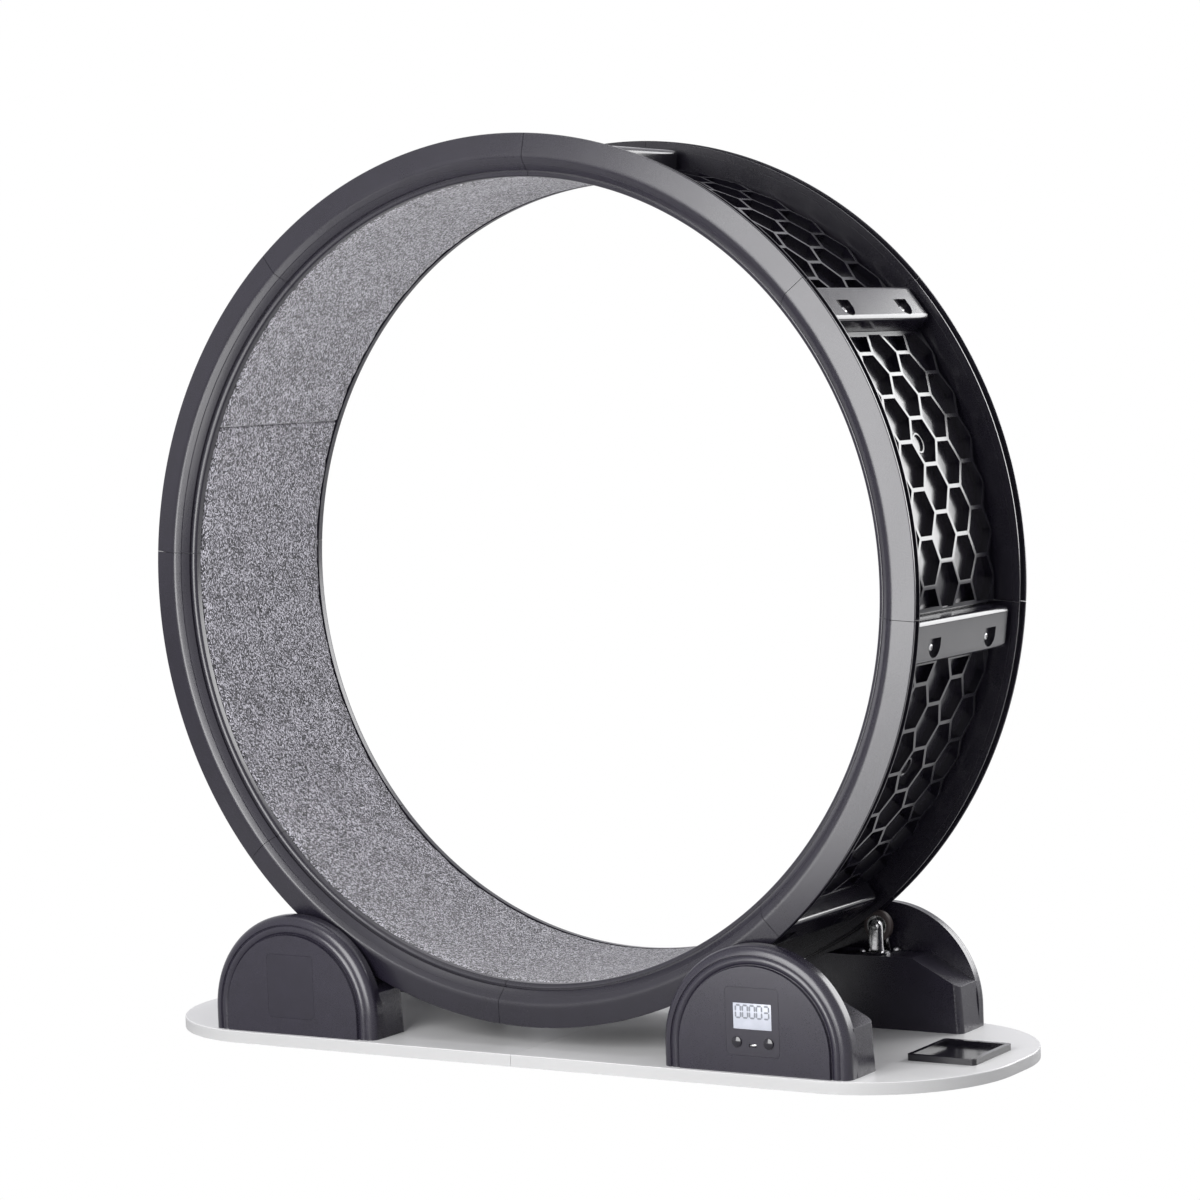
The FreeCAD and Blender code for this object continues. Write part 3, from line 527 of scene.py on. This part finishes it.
@dataclass(frozen=True)
class Laminate:
    """The pale faced board."""

    name: str
    value: float = 0.69
    # Darker grey of the sides below the top face: painted shade, not the board's own colour.
    edge: float = 0.42
    painted_side_shade_blend: tuple[float, float] = (0.0007, 0.0003)
    mottle: float = 14.0
    texture: float = 900.0
    texture_depth: float = 0.00002

    def build(self) -> bpy.types.Material:
        """Make the material.

        Returns:
            A pale satin board with a faint mottle, a fine texture and painted shade on its sides, which are
            a darker grey than the top.
        """
        graph = Graph(self.name)
        mottle = graph.noise(self.mottle, 5.0, roughness=0.6)
        fine = graph.noise(self.texture, 2.0)
        faced = graph.mix(graph.spread(mottle, 0.0, 1.0, 0.3, 0.7), grey(self.value * 0.965),
                          grey(self.value))
        height = graph.node("ShaderNodeSeparateXYZ", {0: graph.place}).outputs[2]
        # Painted shade: every face lower than just under the top, that is the sides, takes the darker grey
        # instead of the pale face colour.
        lower, upper = (SIZE.board_top - drop for drop in self.painted_side_shade_blend)
        on_top = graph.spread(height, 0.0, 1.0, lower, upper)
        colour = graph.mix(on_top, grey(self.edge), faced)
        return graph.finish(Base_Color=colour, Roughness=graph.spread(mottle, 0.3, 0.42, 0.3, 0.7),
                            Normal=graph.bump(fine, self.texture_depth))


@dataclass(frozen=True)
class Display:
    """The back plate of the liquid crystal display."""

    name: str
    shades: tuple[tuple[float, ...], ...] = ((0.33, 0.345, 0.39, 1.0), (0.4, 0.415, 0.465, 1.0))
    # Painted glow: the plate gives off light of its own, which brightens it though it is no lamp.
    glow: float = 0.12

    def build(self) -> bpy.types.Material:
        """Make the material.

        Returns:
            A pale grey plate with a slight painted glow that brightens it.
        """
        graph = Graph(self.name)
        cloud = graph.noise(90.0, 3.0)
        grain = graph.noise(5000.0, 1.0)
        tone = graph.math("ADD", graph.spread(cloud, 0.0, 0.7, 0.3, 0.7), graph.spread(grain, 0.0, 0.3))
        colour = graph.mix(tone, *self.shades)
        # The emission is painted light that brightens the plate.
        return graph.finish(Base_Color=colour, Roughness=0.25, Emission_Color=colour,
                            Emission_Strength=self.glow,
                            Normal=graph.bump(grain, 0.00001))


class Finish(Enum):
    """The named finishes, each with its record slot and its description."""

    TREAD = ("tread_plastic", Plastic("tread_plastic", 0.007, 0.2, 120.0, 0.00001, 0.6))
    RIM = ("rim_plastic", Plastic("rim_plastic", 0.0085, 0.28, 1500.0, 0.000005, 0.6))
    STAND = ("stand_plastic", Plastic("stand_plastic", 0.0125, 0.28, 1200.0, 0.000004, 0.55))
    COVER = ("cover_plastic", Plastic("cover_plastic", 0.0115, 0.34, 1600.0, 0.000004, 0.5))
    BUTTON = ("button_plastic", Plastic("button_plastic", 0.006, 0.12, 500.0, 0.00001, 0.6))
    TRAY = ("tray_plastic", Plastic("tray_plastic", 0.0045, 0.18, 500.0, 0.00001, 0.6))
    CIRCUIT = ("circuit", Plastic("circuit", 0.08, 0.5, 700.0, 0.00005))
    RUBBER = ("roller_rubber", Plastic("roller_rubber", 0.05, 0.5, 900.0, 0.00003, 0.4, -0.25))
    STEEL = ("bright_steel", Metal("bright_steel", 0.62, 0.26, 420.0))
    PLATED = ("plated_steel", Metal("plated_steel", 0.7, 0.13, 300.0))
    CARPET = ("carpet", Carpet("carpet"))
    BOARD = ("base_board", Laminate("base_board"))
    DISPLAY = ("display", Display("display"))

    def __init__(self, slot: str, recipe: object) -> None:
        """Keep the record slot and the recipe.

        Args:
            slot: Name of the material slot in the record.
            recipe: Description that can build the material.
        """
        self.slot = slot
        self.recipe = recipe


class Paint:
    """Makes each material once and puts it on pieces."""

    def __init__(self) -> None:
        """Start with no materials."""
        self.made: dict[Finish, bpy.types.Material] = {}

    def __call__(self, item: bpy.types.Object, finish: Finish) -> bpy.types.Object:
        """Give an object a finish.

        Args:
            item: The object.
            finish: Its finish.

        Returns:
            The object.
        """
        if finish not in self.made:
            self.made[finish] = finish.recipe.build()
        item.data.materials.clear()
        item.data.materials.append(self.made[finish])
        return item


PAINT = Paint()
SLOT_FINISH = {finish.slot: finish for finish in Finish}


# ---------------------------------------------------------------- CAD nodes that stay

@dataclass(frozen=True)
class Edge:
    """Rounding that a kept CAD node gets, in metres, and the bend that it starts at."""

    width: float
    segments: int = 2
    degrees: float = 28.0


@dataclass
class KeptNodes:
    """The CAD nodes that are shown as they are, with rounded edges and a finish."""

    edges: dict[str, Edge] = field(default_factory=lambda: {
        "deck_panel": Edge(0.0009, 2), "stand": Edge(0.0016, 3, 24.0), "board_right": Edge(0.0008),
        "board_left": Edge(0.0008), "accessory_tray": Edge(0.0012, 3), "roller_tyre": Edge(0.0008, 3),
        "roller_hub": Edge(0.0004), "caster_fork": Edge(0.0005), "axle_pins": Edge(0.0004),
        "blank_cover": Edge(0.0004), "meter_panel": Edge(0.0005), "meter_button": Edge(0.0005, 3),
    })
    weld_distance: float = 0.00002
    normal_weight: int = 100

    def build(self) -> None:
        """Round and paint every node that nothing replaces."""
        slots = {part["node"]: part["material_slot"] for part in frame["record"]["subparts"]}
        for name, item in NODES.items():
            PAINT(item, SLOT_FINISH[slots[name]])
            edge = next((value for key, value in self.edges.items() if name.startswith(key)), None)
            item.data.polygons.foreach_set("use_smooth", np.ones(len(item.data.polygons), bool))
            weld = item.modifiers.new("weld", "WELD")
            weld.merge_threshold = self.weld_distance
            if edge:
                bevel = item.modifiers.new("bevel", "BEVEL")
                bevel.width, bevel.segments = edge.width, edge.segments
                bevel.limit_method, bevel.angle_limit = "ANGLE", math.radians(edge.degrees)
                bevel.use_clamp_overlap = True
            normals = item.modifiers.new("normals", "WEIGHTED_NORMAL")
            normals.keep_sharp = True
            normals.weight = self.normal_weight


# ---------------------------------------------------------------- rim covers

@dataclass
class RimCovers:
    """The sixteen rim covers with their ridge, step line, dark groove and lip."""

    steps: int = 56
    joint_degrees: float = 0.035
    sharp_degrees: float = 20.0
    ridge_start: tuple[float, float] = (478.0, 143.5)
    ridge_pull: tuple[float, float] = (473.0, 144.2)
    ridge_stop: tuple[float, float] = (470.8, 142.6)
    lip_middle: tuple[float, float] = (456.6, 125.2)
    lip_radius: float = 4.6

    def profile(self) -> np.ndarray:
        """Draw the section as radius and distance from the middle plane.

        The ridge is a quadratic curve between the sloping face and the inner slope, and the lip is
        a quarter circle. Places are in millimetres until they are returned.

        Returns:
            An array of points by two, in metres.
        """
        share = np.linspace(0, 1, 9)[:, None]
        start, pull, stop = map(np.array, (self.ridge_start, self.ridge_pull, self.ridge_stop))
        ridge = (1 - share) ** 2 * start + 2 * share * (1 - share) * pull + share ** 2 * stop
        turn = np.linspace(0, math.pi / 2, 7)[:, None]
        lip = np.concatenate((self.lip_middle[0] - self.lip_radius * np.sin(turn),
                              self.lip_middle[1] + self.lip_radius * np.cos(turn)), axis=1)
        points = np.concatenate((
            ((500.0, 137.5), (500.0, 139.4), (499.4, 140.0)), ridge,
            ((466.3, 139.0), (465.9, 138.0), (459.6, 132.4), (459.1, 131.6), (459.0, 128.6), (457.4, 128.6),
             (457.3, 129.6)), lip,
            ((452.0, 119.3), (457.7, 119.3), (457.7, 127.8), (461.3, 127.8), (461.3, 124.5), (490.0, 124.5),
             (490.0, 125.1), (491.4, 125.1), (491.4, 124.5), (498.5, 124.5), (498.5, 126.0), (494.5, 126.0),
             (494.5, 137.5))))
        return points * MM

    def build(self) -> None:
        """Sweep one cover for each panel at the front and at the rear."""
        gap = math.radians(self.joint_degrees)
        for index in range(SIZE.sectors):
            start = math.radians(SIZE.seam_degrees) + SIZE.sector * index
            for name, side in (("front_rim_%d" % (index + 1), -1), ("rear_rim_%d" % (index + 1), 1)):
                profile = self.profile() * (1, side)
                item = swept_on_wheel(name + "_cover", profile, start + gap, start + SIZE.sector - gap,
                                      self.steps, self.sharp_degrees)
                PAINT(item, Finish.RIM)
                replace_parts(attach(item, "wheel"), name)


# ---------------------------------------------------------------- stands

@dataclass
class StandShoulders:
    """The round shoulder and the bead on the four arched covers, laid over the CAD covers."""

    leg: float = 0.0244
    outside: float = 114.58
    rounding: float = 10.4
    shoulder_drop: float = 2.1
    groove_drop: float = 3.55
    bead: tuple[float, float] = (93.6, 102.9)
    bead_rise: float = 2.2
    inner_radius: float = 92.3
    back_depth: float = 14.5
    under_depth: float = 5.2
    turns: int = 72

    def profile(self) -> np.ndarray:
        """Draw the section as radius from the arch's middle and depth behind the flat middle.

        The shoulder is a quarter circle and the bead a parabola between two grooves; the rest of
        the outline lies inside the CAD cover.

        Returns:
            An array of points by two, in metres.
        """
        turn = np.linspace(0, math.pi / 2, 13)
        middle = self.outside - self.rounding
        shoulder = np.stack((middle + self.rounding * np.cos(turn),
                             self.shoulder_drop + self.rounding * (1 - np.sin(turn))), axis=1)
        inner, outer = self.bead
        share = np.linspace(1, -1, 15)
        bead = np.stack(((inner + outer) / 2 + share * (outer - inner) / 2,
                         self.groove_drop - self.bead_rise * (1 - share ** 2)), axis=1)
        return np.concatenate((
            ((self.outside, self.back_depth),), shoulder,
            ((outer + 0.9, self.groove_drop - 0.7), (outer + 0.35, self.groove_drop)), bead,
            ((inner - 0.5, self.groove_drop - 0.05), (self.inner_radius, self.groove_drop - 0.15),
             (self.inner_radius, self.under_depth), (104.0, self.under_depth),
             (113.5, self.back_depth)))) * MM

    def build(self) -> None:
        """Sweep the section up one leg, round the arch and down the other leg of each stand."""
        turn = np.linspace(0, math.pi, self.turns)
        across = np.concatenate(((1.0,), np.cos(turn), (-1.0,)))[:, None]
        rise = np.concatenate(((0.0,), np.sin(turn), (0.0,)))[:, None]
        foot = np.concatenate(((self.leg,), np.zeros(self.turns), (self.leg,)))[:, None]
        radius, depth = self.profile()[None, :, 0], self.profile()[None, :, 1]
        height = SIZE.board_top + self.leg - foot + radius * rise
        for name, side_x, side_y in (("front_right", 1, -1), ("front_left", -1, -1),
                                     ("rear_right", 1, 1), ("rear_left", -1, 1)):
            place = (side_x * SIZE.stand_x + radius * across, side_y * (SIZE.stand_face - depth), height)
            item = swept_solid("shoulder_" + name, np.stack(np.broadcast_arrays(*place), axis=-1), 40.0)
            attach(PAINT(item, Finish.STAND), "base")


# ---------------------------------------------------------------- carpet

@dataclass
class CarpetStrips:
    """The two carpet halves with a tight upper joint and an open lower joint with curled ends."""

    inside: float = 0.451
    outside: float = 0.4577
    half_width: float = 0.1188
    curl: float = 0.006
    curl_length: float = 0.03
    upper: float = 156.3
    lower: float = 338.5
    tight_joint: float = 0.05
    open_joint: float = 0.7
    stations: int = 620
    corner_drop: float = 0.0022
    end_length: float = 0.003
    end_thinning: float = 0.35
    edge_trim: float = 0.0016
    edge_wander: float = 0.0006
    waves: tuple[float, float, float] = (61.0, 143.0, 391.0)

    def section(self) -> np.ndarray:
        """Draw the strip's section with rounded upper corners, as height from the backing and side.

        Returns:
            An array of points by two.
        """
        height = self.outside - self.inside
        across = np.linspace(-1, 1, 49)
        top = height - self.corner_drop * np.abs(across) ** 30
        upper = np.stack((top, across * self.half_width), axis=1)
        lower = np.array(((0.0, self.half_width), (0.0, -self.half_width)))
        return np.concatenate((upper, lower))

    def strip(self, name: str, start: float, stop: float, curl_first: bool) -> bpy.types.Object:
        """Lay one half along the tread.

        The strip lifts by the curl times the square of how far it is into its end, and its edges
        wander by a sum of sines.

        Args:
            name: Name of the object.
            start: First angle, in degrees.
            stop: Last angle, in degrees.
            curl_first: Whether the first end is the one that curls.

        Returns:
            The new object with a map of its length and width in metres.
        """
        section = self.section()
        angle = np.radians(np.linspace(start, stop, self.stations))[:, None]
        length = (angle - angle[0]) * self.outside
        total = float(length[-1, 0])
        to_end = length if curl_first else total - length
        lift = self.curl * np.clip(1 - to_end / self.curl_length, 0, 1) ** 2
        end_round = np.clip(np.minimum(length, total - length) / self.end_length, 0, 1)
        thick = 1 - self.end_thinning * (1 - np.sqrt(1 - (1 - end_round) ** 2))
        slow, middle, fast = self.waves
        wander = self.edge_wander * (np.sin(length * slow) + np.sin(length * middle + 1.0)
                                     + 0.6 * np.sin(length * fast))
        width = section[None, :, 1]
        edge = np.clip((np.abs(width) - self.half_width * 0.9) / (self.half_width * 0.1), 0, 1)
        side = width - np.sign(width) * edge * (self.edge_trim + wander)
        radius = self.outside - section[None, :, 0] * thick - lift
        item = swept_solid(name, wheel_points(radius, angle, side), 50.0)
        layer = item.data.uv_layers.new(name="strip")
        place = np.stack(np.broadcast_arrays(length, side), axis=-1).reshape(-1, 2)
        corners = np.empty(len(item.data.loops), np.int32)
        item.data.loops.foreach_get("vertex_index", corners)
        layer.data.foreach_set("uv", place[corners].astype(np.float32).ravel())
        return item

    def build(self) -> None:
        spans = (("carpet_half_1", self.lower - 360 + self.open_joint, self.upper - self.tight_joint, True),
                 ("carpet_half_2", self.upper + self.tight_joint, self.lower - self.open_joint, False))
        for name, start, stop, curl_first in spans:
            item = self.strip(name + "_pile", start, stop, curl_first)
            PAINT(item, Finish.CARPET)
            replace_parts(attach(item, "wheel"), name)


# ---------------------------------------------------------------- small fasteners and marks

@dataclass
class TreadDetails:
    """Rings in the middle cells and the screws in the crossbar wells."""

    tread_outside: float = 0.461
    bar_top: float = 0.491
    well_side: float = 0.0685
    well_depth: float = 0.0055
    bar_share: float = 6.5 / 7
    screw_shift: float = 0.007

    def frame_at(self, angle: float, radius: float, side: float) -> tuple[Vector, Vector]:
        """Find a place on the wheel and the direction away from the axle line.

        Args:
            angle: Angle from +X towards +Z, in radians.
            radius: Distance from the axle line.
            side: Distance from the middle plane.

        Returns:
            The place and the direction.
        """
        outward = Vector((math.cos(angle), 0.0, math.sin(angle)))
        return Vector((0, side, SIZE.axle_height)) + outward * radius, outward

    def build(self) -> None:
        """Make the rings and the screws, each kind as one piece on the wheel."""
        ring = np.array(((12.0, -0.5), (12.0, 1.9), (11.6, 2.3), (9.6, 2.3), (9.2, 1.9), (9.2, -0.5))) * MM
        screw = np.array(((3.9, -0.2), (3.9, 0.9), (3.3, 1.6), (1.9, 1.9), (1.9, 0.7), (0.01, 0.6))) * MM
        rings, screws = [], []
        for index in range(SIZE.sectors):
            start = math.radians(SIZE.seam_degrees) + SIZE.sector * index
            rings.append(lathe(ring, *self.frame_at(start + SIZE.sector / 2, self.tread_outside, 0.0), 40))
            bar = start + SIZE.sector * self.bar_share
            for side in (-self.well_side, self.well_side):
                middle, outward = self.frame_at(bar, self.bar_top - self.well_depth, side)
                along = Vector((-outward.z, 0.0, outward.x))
                screws.append(lathe(screw, middle - along * self.screw_shift, outward, 24))
        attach(PAINT(joined("cell_rings", rings), Finish.TREAD), "wheel")
        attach(PAINT(joined("tread_screws", screws), Finish.STEEL), "wheel")


@dataclass
class Casters:
    """The four casters: plated forks with channelled legs, open hubs, screws and riveted pins."""

    along: float = 0.0155
    across: float = 0.0125
    plate_corner: float = 0.004
    plate_thick: float = 0.002
    plate_edge: float = 0.0004
    leg_gap: float = 0.0062
    leg_wall: float = 0.0018
    leg_bulge: float = 0.0015
    leg_foot: float = 0.0105
    leg_half: float = 0.009
    leg_flare: float = 0.008
    rivet_side: float = 0.0093

    def plate(self, low: Vector, high: Vector) -> np.ndarray:
        """Stack three rounded rectangles into the caster plate.

        Args:
            low: Lowest corner of the fork.
            high: Highest corner of the fork.

        Returns:
            Array of sections by points by three.
        """
        turn = np.linspace(0, math.tau, 32, endpoint=False) + math.tau / 64
        height = low.z + np.array((0.0, self.plate_thick - self.plate_edge, self.plate_thick))[:, None]
        corner = self.plate_corner - np.array((0.0, 0.0, self.plate_edge))[:, None]
        inset = self.plate_corner
        across = np.sign(np.cos(turn)) * ((high.x - low.x) / 2 - inset) + corner * np.cos(turn)
        away = np.sign(np.sin(turn)) * ((high.y - low.y) / 2 - inset) + corner * np.sin(turn)
        return np.stack(np.broadcast_arrays((low.x + high.x) / 2 + across, (low.y + high.y) / 2 + away,
                                            height), axis=-1)

    def leg(self, foot: Vector, axle: float, way: int) -> np.ndarray:
        """Stack the sections of one leg: a channel whose edges turn towards the wheel.

        The half width falls from the foot to a steady value and follows a circle round the axle at
        the top; the face bulges by one minus the fourth power of the place across.

        Args:
            foot: Middle of the fork on top of the plate.
            axle: Height of the axle.
            way: Side of the wheel that the leg is on.

        Returns:
            Array of sections by points by three.
        """
        straight = np.linspace(foot.z, axle, 10)
        round_top = axle + self.leg_half * np.sin(np.linspace(0.12, 1.48, 12))
        height = np.concatenate((straight, round_top))[:, None]
        flare = np.clip(1 - (height - foot.z) / self.leg_flare, 0, 1) ** 2
        half = np.sqrt(np.clip(self.leg_half ** 2 - np.clip(height - axle, 0, None) ** 2, 1e-8, None))
        half = half + (self.leg_foot - self.leg_half) * flare
        across = np.linspace(-1, 1, 13)
        bulge = self.leg_bulge * (1 - across ** 4)
        loop = np.concatenate((across, across[::-1]))[None, :]
        depth = np.concatenate((self.leg_gap + self.leg_wall + bulge, self.leg_gap + bulge[::-1]))[None, :]
        return np.stack(np.broadcast_arrays(foot.x + half * loop, foot.y + way * depth, height), axis=-1)

    def hub_profile(self) -> np.ndarray:
        """Draw the hub's section: a thin rim, a sunk web and a boss round the bore.

        Returns:
            A closed loop of radius and height, in metres.
        """
        upper = np.array(((12.0, 5.0), (11.85, 5.25), (11.1, 5.25), (10.9, 5.0), (10.5, 2.2), (6.3, 1.9),
                          (5.7, 2.3), (5.5, 6.1), (5.3, 6.3), (3.05, 6.3)))
        return np.concatenate((upper, upper[::-1] * (1, -1))) * MM

    def build(self) -> None:
        """Make the forks, the hubs and the small heads of all four casters."""
        for index in range(1, 5):
            fork, hub_name = "caster_fork_%d" % index, "roller_hub_%d" % index
            low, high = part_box(fork)
            hub = sum(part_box(hub_name), Vector()) / 2
            foot = Vector(((low.x + high.x) / 2, hub.y, low.z + 0.0018))
            pieces = [closed_stack(self.plate(low, high))]
            pieces += [closed_stack(self.leg(foot, hub.z, way)) for way in (-1, 1)]
            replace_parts(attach(PAINT(joined(fork + "_sheet", pieces, 30.0), Finish.PLATED), "base"), fork)
            turned = make_mesh(hub_name + "_turned",
                               *lathe(self.hub_profile(), hub, Vector((0, 1, 0)), 48, True))
            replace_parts(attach(PAINT(turned, Finish.STEEL), "roller_%d" % index), hub_name)
        self.heads()

    def heads(self) -> None:
        """Make the plate screws and the pins' riveted ends as one piece."""
        head = np.array(((3.6, 0.0), (3.6, 0.7), (3.0, 1.5), (1.6, 1.9), (1.6, 1.0), (0.01, 0.9))) * MM
        rivet = np.array(((4.4, 0.0), (4.4, 0.5), (3.6, 1.2), (2.0, 1.6), (0.01, 1.7))) * MM
        pieces = []
        for index in range(1, 5):
            low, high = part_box("caster_fork_%d" % index)
            middle = (low + high) / 2
            hub = sum(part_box("roller_hub_%d" % index), Vector()) / 2
            for way_x in (-1, 1):
                for way_y in (-1, 1):
                    place = Vector((middle.x + way_x * self.along, middle.y + way_y * self.across,
                                    low.z + self.plate_thick))
                    pieces.append(lathe(head, place, Vector((0, 0, 1)), 20))
            for way in (-1, 1):
                end = hub + Vector((0, way * self.rivet_side, 0))
                pieces.append(lathe(rivet, end, Vector((0, way, 0)), 24))
        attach(PAINT(joined("caster_fasteners", pieces), Finish.STEEL), "base")


# ---------------------------------------------------------------- display digits

@dataclass
class Digits:
    """Seven-segment numerals on the display."""

    reading: str = "00003"
    width: float = 0.0062
    height: float = 0.0135
    stroke: float = 0.002
    pitch: float = 0.0086
    top_gap: float = 0.0025
    lift: float = 0.00005
    tip_gap: float = 0.15

    SEGMENTS: ClassVar[dict[str, str]] = {"0": "abcdef", "3": "abcdg"}

    def bar(self, start: np.ndarray, stop: np.ndarray) -> np.ndarray:
        """Draw one pointed bar between two places in the display's plane.

        Args:
            start: First end.
            stop: Other end.

        Returns:
            Six corners by two.
        """
        way = (stop - start) / np.linalg.norm(stop - start)
        side = np.array((-way[1], way[0])) * self.stroke / 2
        gap = way * self.stroke * self.tip_gap
        tip = way * self.stroke / 2
        return np.array((start + gap, start + gap + tip + side, stop - gap - tip + side, stop - gap,
                         stop - gap - tip - side, start + gap + tip - side))

    def build(self) -> None:
        """Lay the numerals just in front of the display."""
        low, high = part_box("lcd_screen")
        left = (low.x + high.x) / 2 - self.pitch * 2
        middle_height = high.z - self.top_gap - self.height / 2
        half_w, half_h = self.width / 2, self.height / 2
        corner = {"tl": (-half_w, half_h), "tr": (half_w, half_h), "ml": (-half_w, 0.0),
                  "mr": (half_w, 0.0), "bl": (-half_w, -half_h), "br": (half_w, -half_h)}
        ends = {"a": ("tl", "tr"), "b": ("tr", "mr"), "c": ("mr", "br"), "d": ("bl", "br"),
                "e": ("ml", "bl"), "f": ("tl", "ml"), "g": ("ml", "mr")}
        flats = []
        for index, numeral in enumerate(self.reading):
            centre = np.array((left + index * self.pitch, middle_height))
            for letter in self.SEGMENTS[numeral]:
                start, stop = (np.array(corner[name]) for name in ends[letter])
                flats.append(centre + self.bar(start, stop))
        flat = np.concatenate(flats)
        front = np.stack((flat[:, 0], np.full(len(flat), low.y - self.lift), flat[:, 1]), axis=1)
        item = make_mesh("display_numerals", front, np.arange(len(flat)).reshape(-1, 6))
        graph = Graph("numerals")
        cloud = graph.noise(400.0, 2.0)
        item.data.materials.append(graph.finish(
            Base_Color=graph.mix(cloud, (0.13, 0.14, 0.16, 1.0), (0.17, 0.18, 0.2, 1.0)), Roughness=0.4))
        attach(item, "base")


# ---------------------------------------------------------------- stage

@dataclass(frozen=True)
class Lamp:
    """An area light: where it is, where it points, its size and its power."""

    name: str
    place: tuple[float, float, float]
    target: tuple[float, float, float]
    size: tuple[float, float]
    power: float

    def build(self) -> None:
        """Add the lamp to the scene."""
        data = bpy.data.lights.new(self.name, "AREA")
        data.shape = "RECTANGLE"
        data.size, data.size_y = self.size
        data.energy = self.power
        item = bpy.data.objects.new(self.name, data)
        item.location = self.place
        aim = Vector(self.target) - Vector(self.place)
        item.rotation_euler = aim.to_track_quat("-Z", "Y").to_euler()
        bpy.context.scene.collection.objects.link(item)


@dataclass
class Studio:
    """Camera, floor, background and lamps."""

    camera_place: tuple[float, float, float] = (2.13684, -3.44049, 0.24808)
    yaw: float = 31.49
    pitch: float = -3.92
    roll: float = -2.08
    focal_pixels: float = 3529.56
    picture: float = 1200.0
    sensor: float = 36.0
    floor_half: float = 9.0
    floor_greys: tuple[float, float] = (0.68, 0.72)
    dim_world: float = 0.5
    world_tint: tuple[float, ...] = (0.96, 0.955, 1.0, 1.0)
    lamps: tuple[Lamp, ...] = (
        Lamp("front_box", (0.04, -2.2, 0.8), (0.15, 0.0, 0.6), (1.5, 1.95), 80.0),
        Lamp("back_box", (1.7, 2.6, 1.3), (0.3, 0.0, 0.7), (2.5, 1.8), 86.0),
        Lamp("low_box", (0.17, -1.33, 0.02), (0.17, -1.33, 1.0), (0.85, 1.15), 12.0),
        Lamp("top_box", (-0.3, 0.2, 3.2), (-0.1, 0.0, 0.4), (3.0, 1.6), 26.0),
    )

    def camera(self) -> None:
        """Place the camera as the photograph's was, with its turn, tilt and lean."""
        yaw, pitch, roll = (math.radians(angle) for angle in (self.yaw, self.pitch, self.roll))
        ahead = Vector((-math.sin(yaw) * math.cos(pitch), math.cos(yaw) * math.cos(pitch), math.sin(pitch)))
        right = Vector((math.cos(yaw), math.sin(yaw), 0.0))
        up = right.cross(ahead)
        leaned_right = right * math.cos(roll) + up * math.sin(roll)
        leaned_up = up * math.cos(roll) - right * math.sin(roll)
        matrix = Matrix((leaned_right, leaned_up, -ahead)).transposed().to_4x4()
        matrix.translation = Vector(self.camera_place) + Vector((0, 0, SIZE.axle_height))
        data = bpy.data.cameras.new("camera")
        data.sensor_width = self.sensor
        data.lens = self.sensor * self.focal_pixels / self.picture
        data.clip_end = 50.0
        item = bpy.data.objects.new("camera", data)
        item.matrix_world = matrix
        bpy.context.scene.collection.objects.link(item)
        bpy.context.scene.camera = item

    def floor(self) -> None:
        """Lay a pale floor that the camera sees as plain white."""
        far = self.floor_half
        points = np.array(((-far, -far, 0), (far, -far, 0), (far, far, 0), (-far, far, 0)))
        item = make_mesh("floor", points, [[0, 1, 2, 3]])
        graph = Graph("floor")
        shade = graph.noise(0.8, 2.0)
        colour = graph.mix(shade, *map(grey, self.floor_greys))
        surface = graph.node("ShaderNodeBsdfDiffuse", {"Color": colour})
        glow = graph.node("ShaderNodeEmission", {"Color": (1.0, 1.0, 1.0, 1.0), "Strength": 1.0})
        seen = graph.node("ShaderNodeLightPath").outputs["Is Camera Ray"]
        both = graph.node("ShaderNodeMixShader", {0: seen, 1: surface.outputs[0], 2: glow.outputs[0]})
        graph.tree.links.new(both.outputs[0], graph.output.inputs[0])
        item.data.materials.append(graph.material)

    def world(self) -> None:
        """Show white to the camera and a dimmer studio to everything else."""
        world = bpy.data.worlds.new("studio")
        world.use_nodes = True
        tree = world.node_tree
        back = tree.nodes["Background"]
        path = tree.nodes.new("ShaderNodeLightPath")
        either = tree.nodes.new("ShaderNodeMath")
        either.operation = "MAXIMUM"
        strength = tree.nodes.new("ShaderNodeMapRange")
        strength.inputs["To Min"].default_value = self.dim_world
        strength.inputs["To Max"].default_value = 1.0
        tree.links.new(path.outputs["Is Camera Ray"], either.inputs[0])
        tree.links.new(path.outputs["Is Glossy Ray"], either.inputs[1])
        tree.links.new(either.outputs[0], strength.inputs["Value"])
        tree.links.new(strength.outputs[0], back.inputs["Strength"])
        tone = tree.nodes.new("ShaderNodeMix")
        tone.data_type = "RGBA"
        tone.inputs[6].default_value = self.world_tint
        tone.inputs[7].default_value = (1.0, 1.0, 1.0, 1.0)
        tree.links.new(path.outputs["Is Camera Ray"], tone.inputs[0])
        tree.links.new(tone.outputs[2], back.inputs["Color"])
        bpy.context.scene.world = world

    def build(self) -> None:
        """Set up the whole studio."""
        bpy.context.scene.view_settings.view_transform = "Standard"
        self.camera()
        self.floor()
        self.world()
        for lamp in self.lamps:
            lamp.build()


# ---------------------------------------------------------------- all of it

@dataclass
class CatWheel:
    """The whole object as its sub-assemblies."""

    parts: tuple[object, ...] = (KeptNodes(), RimCovers(), StandShoulders(), CarpetStrips(),
                                 TreadDetails(), Casters(), Digits(), Studio())

    def build(self) -> None:
        """Build every sub-assembly in turn."""
        for part in self.parts:
            log.info("building %s", type(part).__name__)
            part.build()


def main() -> None:
    """Dress the frame."""
    logging.basicConfig(level=logging.INFO)
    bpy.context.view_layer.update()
    CatWheel().build()


if __name__ == "__main__":
    main()
